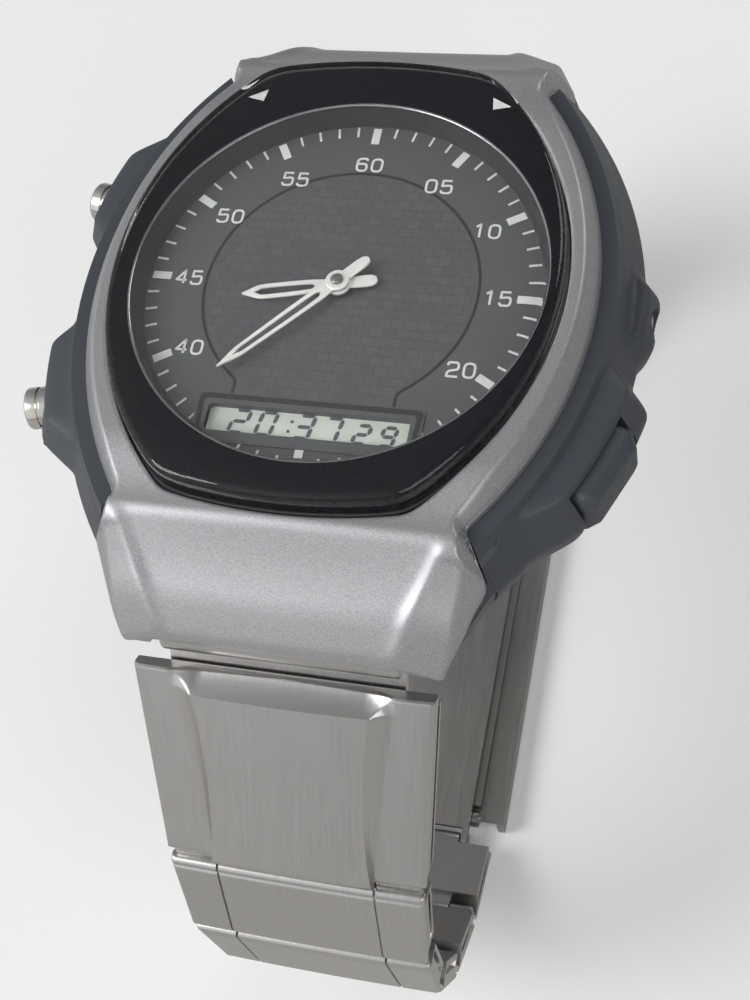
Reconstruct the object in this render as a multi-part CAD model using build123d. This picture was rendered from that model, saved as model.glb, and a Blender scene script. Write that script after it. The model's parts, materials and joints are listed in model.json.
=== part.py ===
from build123d import *

# Ana digi wristwatch, in millimetres.
# The origin is the centre of the case back's outer face, +Z runs out of the glass, +Y points to twelve
# o'clock and +X to three o'clock. The bracelet is closed in a loop below the case.

import os
from math import atan2, cos, pi, radians, sin, sqrt

# Case outline, seen from above
case_half_width = 19.6
lug_outer_x = 12.9
lug_outer_y = 18.8
lug_tip_x = 10.5
case_half_length = 24.0

# Case heights above the case back's outer face
case_bottom_z = 0.7
case_widest_z = 3.6
flank_top_z = 7.3
flank_taper = 24.0
under_taper = 14.0

# Cover: the silver bezel with its four lug covers
ring_half_width = 16.95
notch_x = 11.3
notch_y = 16.5
ring_end_y = 18.4
ring_bottom_z = 6.3
ring_shoulder_z = 7.6
ring_top_z = 9.1
ring_taper = 32.0
cover_wall = 0.9
cover_window_x = 9.4
roof_start_y = 17.2
roof_foot_run = 1.7
roof_knee_y = case_half_length - roof_foot_run
roof_knee_z = 5.2
roof_end_z = 3.1
roof_knee_radius = 1.6
knee_end_shares = (0.75, 1.1)
knee_mid_shares = (0.22, 0.13)
crease_inner_x = 7.6
crease_drop = 1.5
skirt_notch_z = 4.3
skirt_tip_z = 1.9

# Glass opening and glass
glass_half_width = 14.95
glass_corner_x = 8.2
glass_corner_y = 16.35
glass_end_y = 17.15
glass_corner_radius = 1.8
glass_bottom_z = 8.3
glass_top_z = 11.2
glass_edge = 0.3
gasket_width = 0.35
gasket_height = 0.9
mask_thickness = 0.12

# Dial
dial_radius = 14.0
dial_top_z = 6.6
dial_thickness = 0.4
window_radius = 13.9
flange_foot_radius = 13.3
display_width = 13.3
display_height = 1.95
display_centre_y = -10.4
display_corner_radius = 0.3
display_frame_height = 0.12
display_frame_width = 0.8
panel_margin = 0.25
panel_thickness = 0.9
light_thickness = 0.3
rubber_width = 0.45

# Case back and its fastenings
back_radius = 16.2
back_thickness = 1.5
back_dish_radius = 12.4
back_dish_depth = 0.35
back_edge = 0.25
screw_circle_radius = 14.9
screw_angle = 45.0
screw_head_radius = 0.85
screw_head_height = 0.5
screw_shank_radius = 0.5
screw_length = 3.2
slot_width = 0.25
back_gasket_radius = 14.05
back_gasket_wire = 0.35

# Module
module_radius = 13.3
module_bottom_z = 2.0
module_wall = 1.0
frame_floor = 0.6
battery_radius = 4.8
battery_height = 1.65
battery_x = -5.2
battery_y = 3.2
board_thickness = 0.4
board_gap = 0.1
board_margin = 2.1
coil_length = 5.0
coil_radius = 0.6
coil_x = 8.1
coil_y = -0.4
coil_core = 0.3
stator_thickness = 0.25
stator_arm = 1.8
stator_hole_gap = 0.2
crystal_can_radius = 0.75
crystal_can_length = 5.2
crystal_can_turn = -20.0
piezo_radius = 5.0
piezo_thickness = 0.15
cover_plate_thickness = 0.2

# Wheels: tooth counts, modules and heights
rotor_teeth = 8
reduction_teeth = 40
reduction_pinion_teeth = 8
minute_teeth = 48
cannon_teeth = 12
motion_teeth = 36
motion_pinion_teeth = 12
hour_teeth = 48
rotor_module = 0.115
reduction_module = 0.105
motion_module = 0.12
hour_module = 0.096
tooth_tip_share = 0.75
tooth_root_share = 0.95
tooth_foot_share = 0.25
tooth_land_share = 0.09
wheel_thickness = 0.18
wheel_bottom_z = 4.3
wheel_level = 0.26
reduction_angle = 60.0
rotor_angle = 20.0
motion_angle = 150.0
arbor_radius = 0.18
rotor_magnet_radius = 0.55
tube_radius = 0.42
tube_wall = 0.12
run_clear = 0.04

# Hands
hour_hand_length = 6.5
minute_hand_length = 9.7
hand_tail = 2.6
hand_thickness = 0.14
hour_hand_width = 1.15
minute_hand_width = 0.95
hand_slot = 0.42
hand_hub_radius = 0.85
minute_hub_share = 0.9
hand_belly_share = 0.62
hand_slot_share = 0.85
hour_hand_z = 6.95
minute_hand_z = 7.3
minute_hand_angle = 222.6
shown_hour = 8.0

# Pushers
pusher_z = 3.2
pusher_y = 8.5
pusher_lean = 12.0
pusher_radius = 1.45
pusher_stand = 2.1
pusher_reach = case_half_width + pusher_stand
pusher_head = 1.9
pusher_travel = 0.7
stem_radius = 0.5
clip_radius = 0.95
clip_thickness = 0.25
spring_wire = 0.16
seal_wire = 0.22
small_pusher_y = 1.4
small_pusher_radius = 1.0
small_pusher_stand = 0.5
small_pusher_reach = case_half_width + small_pusher_stand
light_button_lean = -23.0
light_button_y = -10.6
light_button_stand = 1.5
light_button_reach = case_half_width + light_button_stand
light_button_length = 5.9
light_button_height = 4.3
light_button_depth = 1.9
light_button_z = 3.5
pusher_gap = 0.12
pusher_table = (
    ("upper_left", pusher_y, pusher_lean, pusher_z, pusher_radius, pusher_reach, True),
    ("lower_left", -pusher_y, -pusher_lean, pusher_z, pusher_radius, pusher_reach, True),
    ("right", small_pusher_y, 0.0, pusher_z, small_pusher_radius, small_pusher_reach, False),
)

# Guards on the case side: along and out from the case side
guard_inner_y = 3.9
guard_crest_y = 5.3
guard_outer_y = 11.6
guard_end_y = 13.3
guard_bulge = 0.95
guard_crest_x = case_half_width + guard_bulge
guard_slope_in = 0.4
guard_outer_x = case_half_width - guard_slope_in
guard_top_z = 6.2
guard_bottom_z = 1.1
guard_root_depth = 4.8
guard_root_x = case_half_width - guard_root_depth
light_guard_outer_y = 13.9
light_guard_end_y = 15.6
light_guard_slope_in = 2.2
light_guard_outer_x = case_half_width - light_guard_slope_in
small_guard_half = 2.9
small_guard_bulge = 0.65
small_guard_x = case_half_width + small_guard_bulge
small_guard_top_z = 5.4

# Bracelet
bar_setback = 1.15
bar_y = case_half_length - bar_setback
bar_z = 1.75
bar_radius = 0.75
bar_tip_radius = 0.4
bar_tip_length = 0.9
end_barrel_radius = 1.25
end_barrel_half = 7.85
lug_side_gap = 0.2
end_link_length = 17.9
end_link_top_half = 10.15
end_link_low_half = 9.2
end_link_start = 2.5
strip_height = 1.1
plate_height = 1.75
plate_foot_half = 7.55
plate_foot_start = 2.3
plate_top_half = 5.9
plate_top_start = 3.7
plate_waist_half = 5.15
plate_low_half = 5.4
link_pitch = 8.4
link_first_half = 9.05
link_last_half = 7.6
link_outer = 1.3
link_inner = 1.0
link_shell = 0.35
link_nose = 0.45
link_tail = 0.1
link_body_gap = 1.05
knuckle_radius = 0.75
pin_radius = 0.4
pin_inset = 0.3
tongue_half = 5.35
knuckle_gap = 0.1
seam_width = 0.12
seam_depth = 0.15
fold_slot_height = 0.5
fold_slot_depth = 1.6
link_slopes = (55.0, 68.0, 87.0, 107.0, 128.0, 149.0)

# Folding clasp
clasp_wall = 0.6
clasp_side_gap = 0.25
clasp_wall_top = 0.55
clasp_wall_reach = 1.2
clasp_floor_short = 1.4
clasp_hinge_back = 2.4
blade_hinge_back = 4.5
blade_thickness = 0.6
blade_gap = 0.3
blade_half = 6.0
blade_ear_inner = 4.9
blade_ear_outer = 5.4
blade_ear_radius = 0.9
blade_knuckle_half = 3.0
blade_slot_half = 1.6
clasp_hole_pitch = 2.6
clasp_holes = 3
clasp_edge = 0.25

# Shared clearances
press_clear = 0.01
pin_clear = 0.05
free_gap = 0.3
overrun = 1.0


def arc_bulge(mid_x, end_x, end_y):
    """Return the centre and radius of the arc through (end_x, +-end_y) and (mid_x, 0)."""
    centre = (end_x ** 2 + end_y ** 2 - mid_x ** 2) / (2 * (end_x - mid_x))
    return centre, mid_x - centre


def side_x(y):
    """Half width of the case side at y, on its widest line."""
    centre, radius = arc_bulge(case_half_width, lug_outer_x, lug_outer_y)
    return centre + sqrt(radius ** 2 - y ** 2)


def tube_x(radius, half, y=0.0, z=0.0, bore=0.0):
    """A cylinder along X, centred on x = 0, with an optional bore."""
    body = Cylinder(radius, 2 * half)
    if bore:
        body -= Cylinder(bore, 2 * half + overrun)
    return Pos(0, y, z) * Rot(0, 90, 0) * body


def slab(x0, x1, y0, y1, z0, z1):
    """A block between two corners."""
    return Pos((x0 + x1) / 2, (y0 + y1) / 2, (z0 + z1) / 2) * Box(x1 - x0, y1 - y0, z1 - z0)


def polygon(points):
    return make_face(Polyline(*points, close=True))


def prism_x(points, half):
    """A prism along X over an outline given as (y, z) points."""
    outline = Plane.YZ.offset(-half) * polygon(points)
    return extrude(outline, amount=2 * half)


def both_ends(shape):
    """A shape and its mirror image at the other end of the case."""
    return shape + mirror(shape, about=Plane.XZ)


def case_outline():
    """Tonneau with four lugs: bulged sides, straight lug flanks, flat ends."""
    right = ThreePointArc((lug_outer_x, -lug_outer_y), (case_half_width, 0), (lug_outer_x, lug_outer_y))
    right_top = Line((lug_outer_x, lug_outer_y), (lug_tip_x, case_half_length))
    top = Line((lug_tip_x, case_half_length), (-lug_tip_x, case_half_length))
    left_top = Line((-lug_tip_x, case_half_length), (-lug_outer_x, lug_outer_y))
    left = ThreePointArc((-lug_outer_x, lug_outer_y), (-case_half_width, 0), (-lug_outer_x, -lug_outer_y))
    left_low = Line((-lug_outer_x, -lug_outer_y), (-lug_tip_x, -case_half_length))
    low = Line((-lug_tip_x, -case_half_length), (lug_tip_x, -case_half_length))
    right_low = Line((lug_tip_x, -case_half_length), (lug_outer_x, -lug_outer_y))
    return make_face(right + right_top + top + left_top + left + left_low + low + right_low)


def barrel_outline(mid_x, corner_x, corner_y, end_y, corner_radius=0.0):
    """Four arcs: bulged sides and slightly bulged ends, with rounded corners."""
    right = ThreePointArc((corner_x, -corner_y), (mid_x, 0), (corner_x, corner_y))
    top = ThreePointArc((corner_x, corner_y), (0, end_y), (-corner_x, corner_y))
    left = ThreePointArc((-corner_x, corner_y), (-mid_x, 0), (-corner_x, -corner_y))
    low = ThreePointArc((-corner_x, -corner_y), (0, -end_y), (corner_x, -corner_y))
    face = make_face(right + top + left + low)
    if corner_radius:
        face = fillet(face.vertices(), corner_radius)
    return face


def glass_outline(inset):
    """The glass opening, drawn in by an inset."""
    return barrel_outline(glass_half_width - inset, glass_corner_x - inset, glass_corner_y - inset,
                          glass_end_y - inset, glass_corner_radius)


def case_form():
    """The whole case form, widest a third of the way up, with flanks that lean in above and below."""
    outline = Pos(0, 0, case_widest_z) * case_outline()
    upper = extrude(outline, amount=ring_top_z - case_widest_z, taper=flank_taper)
    lower = extrude(outline, amount=case_bottom_z - case_widest_z, taper=under_taper)
    return upper + lower


def roof(drop):
    """Space under the sloping ends of the cover, lowered by a wall."""
    end_y = case_half_length + overrun
    knee = roof_knee_radius
    slope = atan2(ring_top_z - roof_knee_z, roof_knee_y - roof_start_y)
    start = (roof_start_y, ring_top_z - drop)
    before = (roof_knee_y - knee * cos(slope), roof_knee_z + knee * sin(slope) - drop)
    after = (roof_knee_y + knee * knee_end_shares[0], roof_knee_z - knee * knee_end_shares[1] - drop)
    middle = (roof_knee_y + knee * knee_mid_shares[0], roof_knee_z - knee * knee_mid_shares[1] - drop)
    side = (Line((0, 0), (0, ring_top_z - drop)) + Line((0, ring_top_z - drop), start) + Line(start, before)
            + ThreePointArc(before, middle, after) + Line(after, (end_y, 0)) + Line((end_y, 0), (0, 0)))
    face = Plane.YZ.offset(-case_half_width) * make_face(side)
    return both_ends(extrude(face, amount=2 * case_half_width))


def lug_region():
    """Plan region of the lug covers: everything past the notch in the case side."""
    reach = case_half_width + overrun
    far = case_half_length + overrun
    skew = lug_outer_y + (reach - lug_outer_x) * (lug_outer_y - notch_y) / (lug_outer_x - notch_x)
    face = polygon([(-notch_x, notch_y), (notch_x, notch_y), (lug_outer_x, lug_outer_y), (reach, skew),
                    (reach, far + skew), (-reach, far + skew), (-reach, skew), (-lug_outer_x, lug_outer_y)])
    return both_ends(extrude(face, amount=ring_top_z + overrun))


def above_parting():
    """Space above the line where the cover's skirt ends on the case."""
    far = case_half_length + overrun
    fall = (skirt_notch_z - skirt_tip_z) / (case_half_length - lug_outer_y)
    points = [(0, ring_bottom_z), (notch_y - overrun, ring_bottom_z), (lug_outer_y, skirt_notch_z),
              (far, skirt_tip_z - fall * overrun), (far, ring_top_z + overrun), (0, ring_top_z + overrun)]
    return both_ends(prism_x(points, case_half_width + overrun))


def lug_facets():
    """Wedges that slope the cover down beside each crease."""
    foot = Vector(crease_inner_x, case_half_length, roof_end_z + crease_drop)
    top = Vector(notch_x - press_clear, notch_y, ring_shoulder_z - cover_wall / 3)
    along = (top - foot).normalized()
    out = Vector(-along.Y, along.X, 0).normalized()
    lean = (out + Vector(0, 0, -crease_drop / cover_wall / 2)).normalized()
    up = along.cross(lean).normalized()
    if up.Z < 0:
        up = up * -1
    plane = Plane(origin=foot, x_dir=lean, z_dir=up)
    size = case_half_length
    wedge = plane.location * Pos(size / 2, 0, size / 2) * Box(size, 2 * size, size)
    wedge = wedge & slab(0, 2 * size, notch_y - overrun, 2 * size, 0, 2 * size)
    pair = wedge + mirror(wedge, about=Plane.YZ)
    return both_ends(pair)


def cover_envelope(form):
    """The cover filled solid: ring plus lug covers, over the parting line."""
    outline = Pos(0, 0, ring_bottom_z) * barrel_outline(ring_half_width, notch_x, notch_y, ring_end_y)
    ring = extrude(outline, amount=ring_shoulder_z - ring_bottom_z)
    shoulder = Pos(0, 0, ring_shoulder_z - ring_bottom_z) * outline
    ring += extrude(shoulder, amount=ring_top_z - ring_shoulder_z, taper=ring_taper)
    return ring + (form & lug_region() & above_parting())


def case_core():
    """The part of the case that lies under the cover: dial seat and lug cores."""
    seat = extrude(Pos(0, 0, case_bottom_z) * glass_outline(-gasket_width),
                   amount=glass_bottom_z - mask_thickness - case_bottom_z)
    inner_half = ring_half_width - cover_wall
    block = extrude(Pos(0, 0, case_bottom_z) * barrel_outline(inner_half, notch_x, notch_y,
                    ring_end_y), amount=ring_bottom_z - case_bottom_z)
    far = case_half_length - cover_wall / 3
    lug_cores = slab(-cover_window_x, cover_window_x, -far, far, case_bottom_z, ring_top_z)
    lug_cores = (lug_cores & roof(cover_wall)) - glass_space()
    return seat + block + lug_cores


def glass_space():
    """Space above the seat for the glass and its gasket."""
    seat = Pos(0, 0, glass_bottom_z - mask_thickness)
    return extrude(seat * glass_outline(-gasket_width), amount=ring_top_z)


def lug_gap():
    """Space between the lugs for the end link's barrel."""
    half = end_barrel_half + lug_side_gap
    radius = end_barrel_radius + free_gap
    far = case_half_length + overrun
    gap = tube_x(radius, half, bar_y, bar_z)
    gap += slab(-half, half, bar_y, far, bar_z - 2 * radius, bar_z + radius)
    gap += slab(-half, half, bar_y - radius, far, bar_z - 2 * radius, bar_z)
    tip_half = end_barrel_half + bar_tip_length + press_clear
    gap += tube_x(bar_tip_radius + press_clear, tip_half, bar_y, bar_z)
    return both_ends(gap)


def guard(points, top_z, bottom_z):
    """A guard on the right-hand side, as a tapered block over its plan outline."""
    outline = Pos(0, 0, case_widest_z) * polygon(points)
    block = extrude(outline, amount=top_z - case_widest_z, taper=flank_taper)
    block += extrude(outline, amount=bottom_z - case_widest_z, taper=under_taper)
    return block


def pusher_guard():
    return guard([(guard_root_x, guard_inner_y), (side_x(guard_inner_y), guard_inner_y),
                  (guard_crest_x, guard_crest_y), (guard_outer_x, guard_outer_y),
                  (side_x(guard_end_y), guard_end_y), (guard_root_x, guard_end_y)],
                 guard_top_z, guard_bottom_z)


def light_guard():
    return guard([(guard_root_x, -guard_inner_y), (side_x(guard_inner_y), -guard_inner_y),
                  (guard_crest_x, -guard_crest_y), (light_guard_outer_x, -light_guard_outer_y),
                  (side_x(light_guard_end_y), -light_guard_end_y), (guard_root_x, -light_guard_end_y)],
                 guard_top_z, guard_bottom_z)


def small_guard():
    low = small_pusher_y - small_guard_half
    high = small_pusher_y + small_guard_half
    slope = small_guard_half / 3
    return guard([(guard_root_x, low), (side_x(low), low), (small_guard_x, low + slope),
                  (small_guard_x, high - slope), (side_x(high), high), (guard_root_x, high)],
                 small_guard_top_z, guard_bottom_z)


def right_or_left(shape, left):
    return mirror(shape, about=Plane.YZ) if left else shape


def pusher_axis_y(y, lean):
    """Where the axis crosses x = 0, so that it passes (case_half_width, y)."""
    return y - case_half_width * sin(radians(lean)) / cos(radians(lean))


def pusher_place(y, lean, z, shape):
    out = (cos(radians(lean)), sin(radians(lean)), 0)
    plane = Plane(origin=(0, pusher_axis_y(y, lean), z), x_dir=(0, 0, 1), z_dir=out)
    return plane.location * shape


def bore_along(radius, start, end):
    return Pos(0, 0, (start + end) / 2) * Cylinder(radius, end - start)


def head_seat(reach, head):
    """Distance along the axis at which the head's pocket ends."""
    return reach - head - pusher_travel - pusher_gap


def seal_groove_radius():
    return stem_radius + 2 * seal_wire + run_clear + press_clear


def pusher_pockets():
    """Pockets and stem bores for all pushers, through the case side."""
    cuts = None
    for name, y, lean, z, radius, reach, left in pusher_table:
        seat = head_seat(reach, pusher_head)
        cut = bore_along(radius + pusher_gap, seat, reach + overrun)
        cut += bore_along(stem_radius + run_clear, module_radius / 2, seat + overrun)
        cut += bore_along(seal_groove_radius(), seat - seal_wire * 2 - pusher_gap, seat + press_clear)
        cut = right_or_left(pusher_place(y, lean, z, cut), left)
        cuts = cut if cuts is None else cuts + cut
    seat = head_seat(light_button_reach, light_button_depth)
    cut = Pos(0, 0, (seat + light_button_reach) / 2 + overrun) * Box(
        light_button_height + 2 * pusher_gap, light_button_length + 2 * pusher_gap,
        light_button_reach - seat + 2 * overrun)
    cut += bore_along(stem_radius + run_clear, module_radius / 2, seat + overrun)
    cut += bore_along(seal_groove_radius(), seat - seal_wire * 2 - pusher_gap, seat + press_clear)
    return cuts + pusher_place(light_button_y, light_button_lean, light_button_z, cut)


def case_parts():
    """The resin case and its silver cover, which meet face to face."""
    form = (case_form() & roof(0.0)) - lug_facets()
    envelope = cover_envelope(form)
    core = case_core()
    opening = extrude(Pos(0, 0, case_bottom_z) * glass_outline(-gasket_width), amount=ring_top_z)
    cover = envelope - core - opening - lug_gap()
    cover = max(cover.solids(), key=lambda s: s.volume)
    flank = slab(-case_half_width, case_half_width, -case_half_length, case_half_length, 0, flank_top_z)
    body = (form & flank) - envelope
    guards = pusher_guard() + mirror(pusher_guard(), about=Plane.XZ)
    body += mirror(guards, about=Plane.YZ) + light_guard() + small_guard()
    body = body - envelope + (core & (form + extrude(Pos(0, 0, case_bottom_z) * glass_outline(-gasket_width),
                                                     amount=ring_top_z)))
    body -= lug_gap()
    body -= Pos(0, 0, glass_bottom_z) * Cylinder(dial_radius + pin_clear, 2 * (glass_bottom_z - dial_top_z
                                                                              + dial_thickness))
    body -= bore_along(module_radius + free_gap, 0, dial_top_z)
    body -= bore_along(back_radius + pin_clear, 0, back_thickness + press_clear)
    ring = Cylinder(back_gasket_radius + back_gasket_wire, 2 * back_gasket_wire)
    ring -= Cylinder(back_gasket_radius - back_gasket_wire, 2 * back_gasket_wire + overrun)
    body -= Pos(0, 0, back_thickness + back_gasket_wire) * ring
    body -= pusher_pockets()
    for angle in screw_angles():
        body -= Pos(*screw_place(angle), back_thickness) * Cylinder(screw_shank_radius + press_clear,
                                                                     2 * screw_length)
    body = max(body.solids(), key=lambda s: s.volume)
    return body, cover


def screw_angles():
    return [screw_angle + 90.0 * k for k in range(4)]


def screw_place(angle):
    return screw_circle_radius * cos(radians(angle)), screw_circle_radius * sin(radians(angle))


def glass():
    """Raised clear glass with upright sides and a small edge bevel."""
    outline = Pos(0, 0, glass_bottom_z) * glass_outline(pin_clear)
    body = extrude(outline, amount=glass_top_z - glass_bottom_z)
    top = body.faces().sort_by(Axis.Z)[-1]
    return chamfer(top.edges(), glass_edge)


def glass_gasket():
    """Gasket between the glass and the cover."""
    outer = extrude(Pos(0, 0, glass_bottom_z - mask_thickness) * glass_outline(-gasket_width + press_clear),
                    amount=gasket_height)
    return outer - extrude(Pos(0, 0, glass_bottom_z - overrun) * glass_outline(0.0), amount=2 * overrun
                           + gasket_height)


def mask_ring():
    """Printed mask under the glass, with the round dial window."""
    outline = Pos(0, 0, glass_bottom_z - mask_thickness) * glass_outline(pin_clear)
    sheet = extrude(outline, amount=mask_thickness)
    return sheet - Pos(0, 0, glass_bottom_z) * Cylinder(window_radius, 2 * overrun)


def flange_ring():
    """Sloping ring between dial and mask."""
    top_z = glass_bottom_z - mask_thickness
    outer = dial_radius
    profile = polygon([(flange_foot_radius, dial_top_z), (outer, dial_top_z), (outer, top_z),
                       (window_radius, top_z)])
    return revolve(Plane.XZ * profile, axis=Axis.Z)


def display_hole(margin, bottom_z, height):
    face = Pos(0, display_centre_y, bottom_z) * RectangleRounded(display_width + 2 * margin,
                                                                 display_height + 2 * margin,
                                                                 display_corner_radius)
    return extrude(face, amount=height)


def dial_plate():
    """Round dial with its raised display frame, window and centre hole."""
    bottom = dial_top_z - dial_thickness
    disc = Pos(0, 0, bottom + dial_thickness / 2) * Cylinder(dial_radius, dial_thickness)
    frame = display_hole(display_frame_width, dial_top_z, display_frame_height)
    disc += frame & Pos(0, 0, dial_top_z) * Cylinder(flange_foot_radius - pin_clear, 2 * overrun)
    disc -= display_hole(0.0, bottom - overrun, 2 * overrun + dial_thickness)
    return disc - Pos(0, 0, dial_top_z) * Cylinder(tube_radius + tube_wall + free_gap / 2, 2 * overrun)


def display_panel():
    """Glass sandwich of the display, under the dial's window."""
    top = dial_top_z - dial_thickness
    return slab(-display_width / 2 - panel_margin, display_width / 2 + panel_margin,
                display_centre_y - display_height / 2 - panel_margin / 2,
                display_centre_y + display_height / 2 + panel_margin, top - panel_thickness, top)


def rubber_rows():
    """Lower and upper Y bounds of the two connector strips, flush with the panel's long edges."""
    y_low = display_centre_y - display_height / 2 - panel_margin / 2
    y_high = display_centre_y + display_height / 2 + panel_margin
    return (y_low, y_low + rubber_width), (y_high - rubber_width, y_high)


def light_sheet():
    top = dial_top_z - dial_thickness - panel_thickness
    lower, upper = rubber_rows()
    return slab(-display_width / 2, display_width / 2, lower[1] + pin_clear, upper[0] - pin_clear,
                top - light_thickness, top)


def display_rubbers():
    """Two rubber strips that connect the display to the circuit board."""
    top = dial_top_z - dial_thickness - panel_thickness
    half = display_width / 2 - panel_margin
    return [slab(-half, half, y_low, y_high, board_top(), top) for y_low, y_high in rubber_rows()]


def board_top():
    return module_bottom_z + board_gap + board_thickness + battery_height


def case_back():
    """Steel back with a shallow dish and four countersunk screw seats."""
    plate = bore_along(back_radius, 0, back_thickness)
    plate = chamfer(plate.faces().sort_by(Axis.Z)[0].edges(), back_edge)
    dish = Pos(0, 0, back_thickness) * Cylinder(back_dish_radius, 2 * back_dish_depth)
    plate -= dish
    for angle in screw_angles():
        x, y = screw_place(angle)
        plate -= Pos(x, y, 0) * Cylinder(screw_head_radius + pin_clear, 2 * screw_head_height)
        plate -= Pos(x, y, 0) * Cylinder(screw_shank_radius + pin_clear, 4 * back_thickness)
    return plate


def back_screws():
    screws = []
    for angle in screw_angles():
        x, y = screw_place(angle)
        screw = bore_along(screw_head_radius, pin_clear, screw_head_height)
        screw += bore_along(screw_shank_radius, screw_head_height / 2, screw_length)
        slot = Rot(0, 0, angle) * Box(4 * screw_head_radius, slot_width, screw_head_height)
        screws.append(Pos(x, y, 0) * (screw - slot))
    return screws


def back_gasket():
    ring = Torus(back_gasket_radius, back_gasket_wire - press_clear)
    return Pos(0, 0, back_thickness + back_gasket_wire) * ring


def module_frame():
    """Moulded carrier: open cup with pockets for battery, coil and display."""
    top = dial_top_z - dial_thickness
    body = bore_along(module_radius, module_bottom_z, top)
    body -= bore_along(module_radius - module_wall, module_bottom_z - overrun, top - frame_floor)
    body -= bore_along(tube_radius + tube_wall + 2 * run_clear, 0, 2 * top)
    body -= display_hole(panel_margin + pin_clear, 0, 2 * top)
    body -= slab(-display_width / 2 - panel_margin - pin_clear, display_width / 2 + panel_margin + pin_clear,
                 display_centre_y - display_height, display_centre_y + display_height / 2 + panel_margin
                 + pin_clear, 0, top)
    for name, y, lean, z, radius, reach, left in pusher_table:
        slot = bore_along(clip_radius + free_gap, 0, 2 * module_radius)
        body -= right_or_left(pusher_place(y, lean, z, slot), left)
    slot = bore_along(clip_radius + free_gap, 0, 2 * module_radius)
    body -= pusher_place(light_button_y, light_button_lean, light_button_z, slot)
    return max(body.solids(), key=lambda s: s.volume)


def wheel(teeth, module, thickness, bore=0.0):
    """Spur wheel with slender pointed teeth, so that meshed wheels keep their backlash."""
    pitch_r = teeth * module / 2
    tip_r = pitch_r + tooth_tip_share * module
    root_r = pitch_r - tooth_root_share * module
    step = 2 * pi / teeth
    shares = ((-tooth_foot_share, root_r), (-tooth_land_share, tip_r), (tooth_land_share, tip_r),
              (tooth_foot_share, root_r))
    points = []
    for k in range(teeth):
        for share, radius in shares:
            angle = (k + share) * step
            points.append((radius * cos(angle), radius * sin(angle)))
    body = extrude(polygon(points), amount=thickness)
    if bore:
        body -= Cylinder(bore, 4 * thickness)
    return body


def wheel_z(level):
    return wheel_bottom_z + level * wheel_level


def mesh_distance(teeth_a, teeth_b, module):
    return (teeth_a + teeth_b) * module / 2


def polar(distance, angle, x=0.0, y=0.0):
    return x + distance * cos(radians(angle)), y + distance * sin(radians(angle))


def arbor(bottom, top):
    return bore_along(arbor_radius, bottom, top)


def mesh_turn(own_teeth, other_teeth, direction):
    """Turn of a wheel that sets a gap against the other wheel's tooth in a given direction.

    The other wheel has a tooth at angle zero and stands at `direction` seen from the first wheel's
    partner; both wheels turn opposite ways at the ratio of their teeth.
    """
    return direction + 180.0 + 180.0 / own_teeth + direction * other_teeth / own_teeth


def placed_wheel(x, y, z, turn, shape):
    return Pos(x, y, z) * Rot(0, 0, turn) * shape


def gear_train():
    """Rotor, reduction wheel, minute wheel, motion wheel and hour wheel, all in mesh."""
    a = mesh_distance(reduction_pinion_teeth, minute_teeth, reduction_module)
    reduction_x, reduction_y = polar(a, reduction_angle)
    b = mesh_distance(rotor_teeth, reduction_teeth, rotor_module)
    rotor_x, rotor_y = polar(b, rotor_angle, reduction_x, reduction_y)
    c = mesh_distance(cannon_teeth, motion_teeth, motion_module)
    motion_x, motion_y = polar(c, motion_angle)
    low = board_top() + run_clear
    high = dial_top_z - dial_thickness - frame_floor - run_clear

    minute = Pos(0, 0, wheel_z(0)) * wheel(minute_teeth, reduction_module, wheel_thickness)
    minute += Pos(0, 0, wheel_z(2)) * wheel(cannon_teeth, motion_module, wheel_thickness)
    minute += bore_along(tube_radius - run_clear, wheel_z(0), minute_hand_z + hand_thickness)

    turn = mesh_turn(reduction_pinion_teeth, minute_teeth, reduction_angle)
    reduction = placed_wheel(reduction_x, reduction_y, wheel_z(0), turn,
                             wheel(reduction_pinion_teeth, reduction_module, wheel_level))
    reduction += placed_wheel(reduction_x, reduction_y, wheel_z(1), turn,
                              wheel(reduction_teeth, rotor_module, wheel_thickness))
    reduction += Pos(reduction_x, reduction_y, 0) * arbor(low, high)

    spin = mesh_turn(rotor_teeth, reduction_teeth, rotor_angle - turn) + turn
    pinion = wheel(rotor_teeth, rotor_module, wheel_thickness)
    rotor = placed_wheel(rotor_x, rotor_y, wheel_z(1), spin, pinion)
    rotor += Pos(rotor_x, rotor_y, 0) * arbor(low, high)
    rotor += Pos(rotor_x, rotor_y, 0) * bore_along(rotor_magnet_radius, low + run_clear,
                                                   low + run_clear + stator_thickness)

    lean = mesh_turn(motion_teeth, cannon_teeth, motion_angle)
    motion = placed_wheel(motion_x, motion_y, wheel_z(2), lean, wheel(motion_teeth, motion_module,
                                                                     wheel_thickness))
    motion += placed_wheel(motion_x, motion_y, wheel_z(2), lean, wheel(motion_pinion_teeth, hour_module,
                                                                      wheel_level + wheel_thickness))
    motion += Pos(motion_x, motion_y, 0) * arbor(wheel_z(0) + 2 * wheel_level - run_clear, high)

    sit = mesh_turn(hour_teeth, motion_pinion_teeth, motion_angle + 180.0 - lean) + lean
    hour = placed_wheel(0, 0, wheel_z(3), sit, wheel(hour_teeth, hour_module, wheel_thickness))
    hour += bore_along(tube_radius + tube_wall, wheel_z(3), hour_hand_z + hand_thickness)
    hour -= bore_along(tube_radius, 0, 2 * hour_hand_z)
    return {"motor_rotor": rotor, "reduction_wheel": reduction, "minute_wheel": minute,
            "motion_wheel": motion, "hour_wheel": hour}, (rotor_x, rotor_y)


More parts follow.
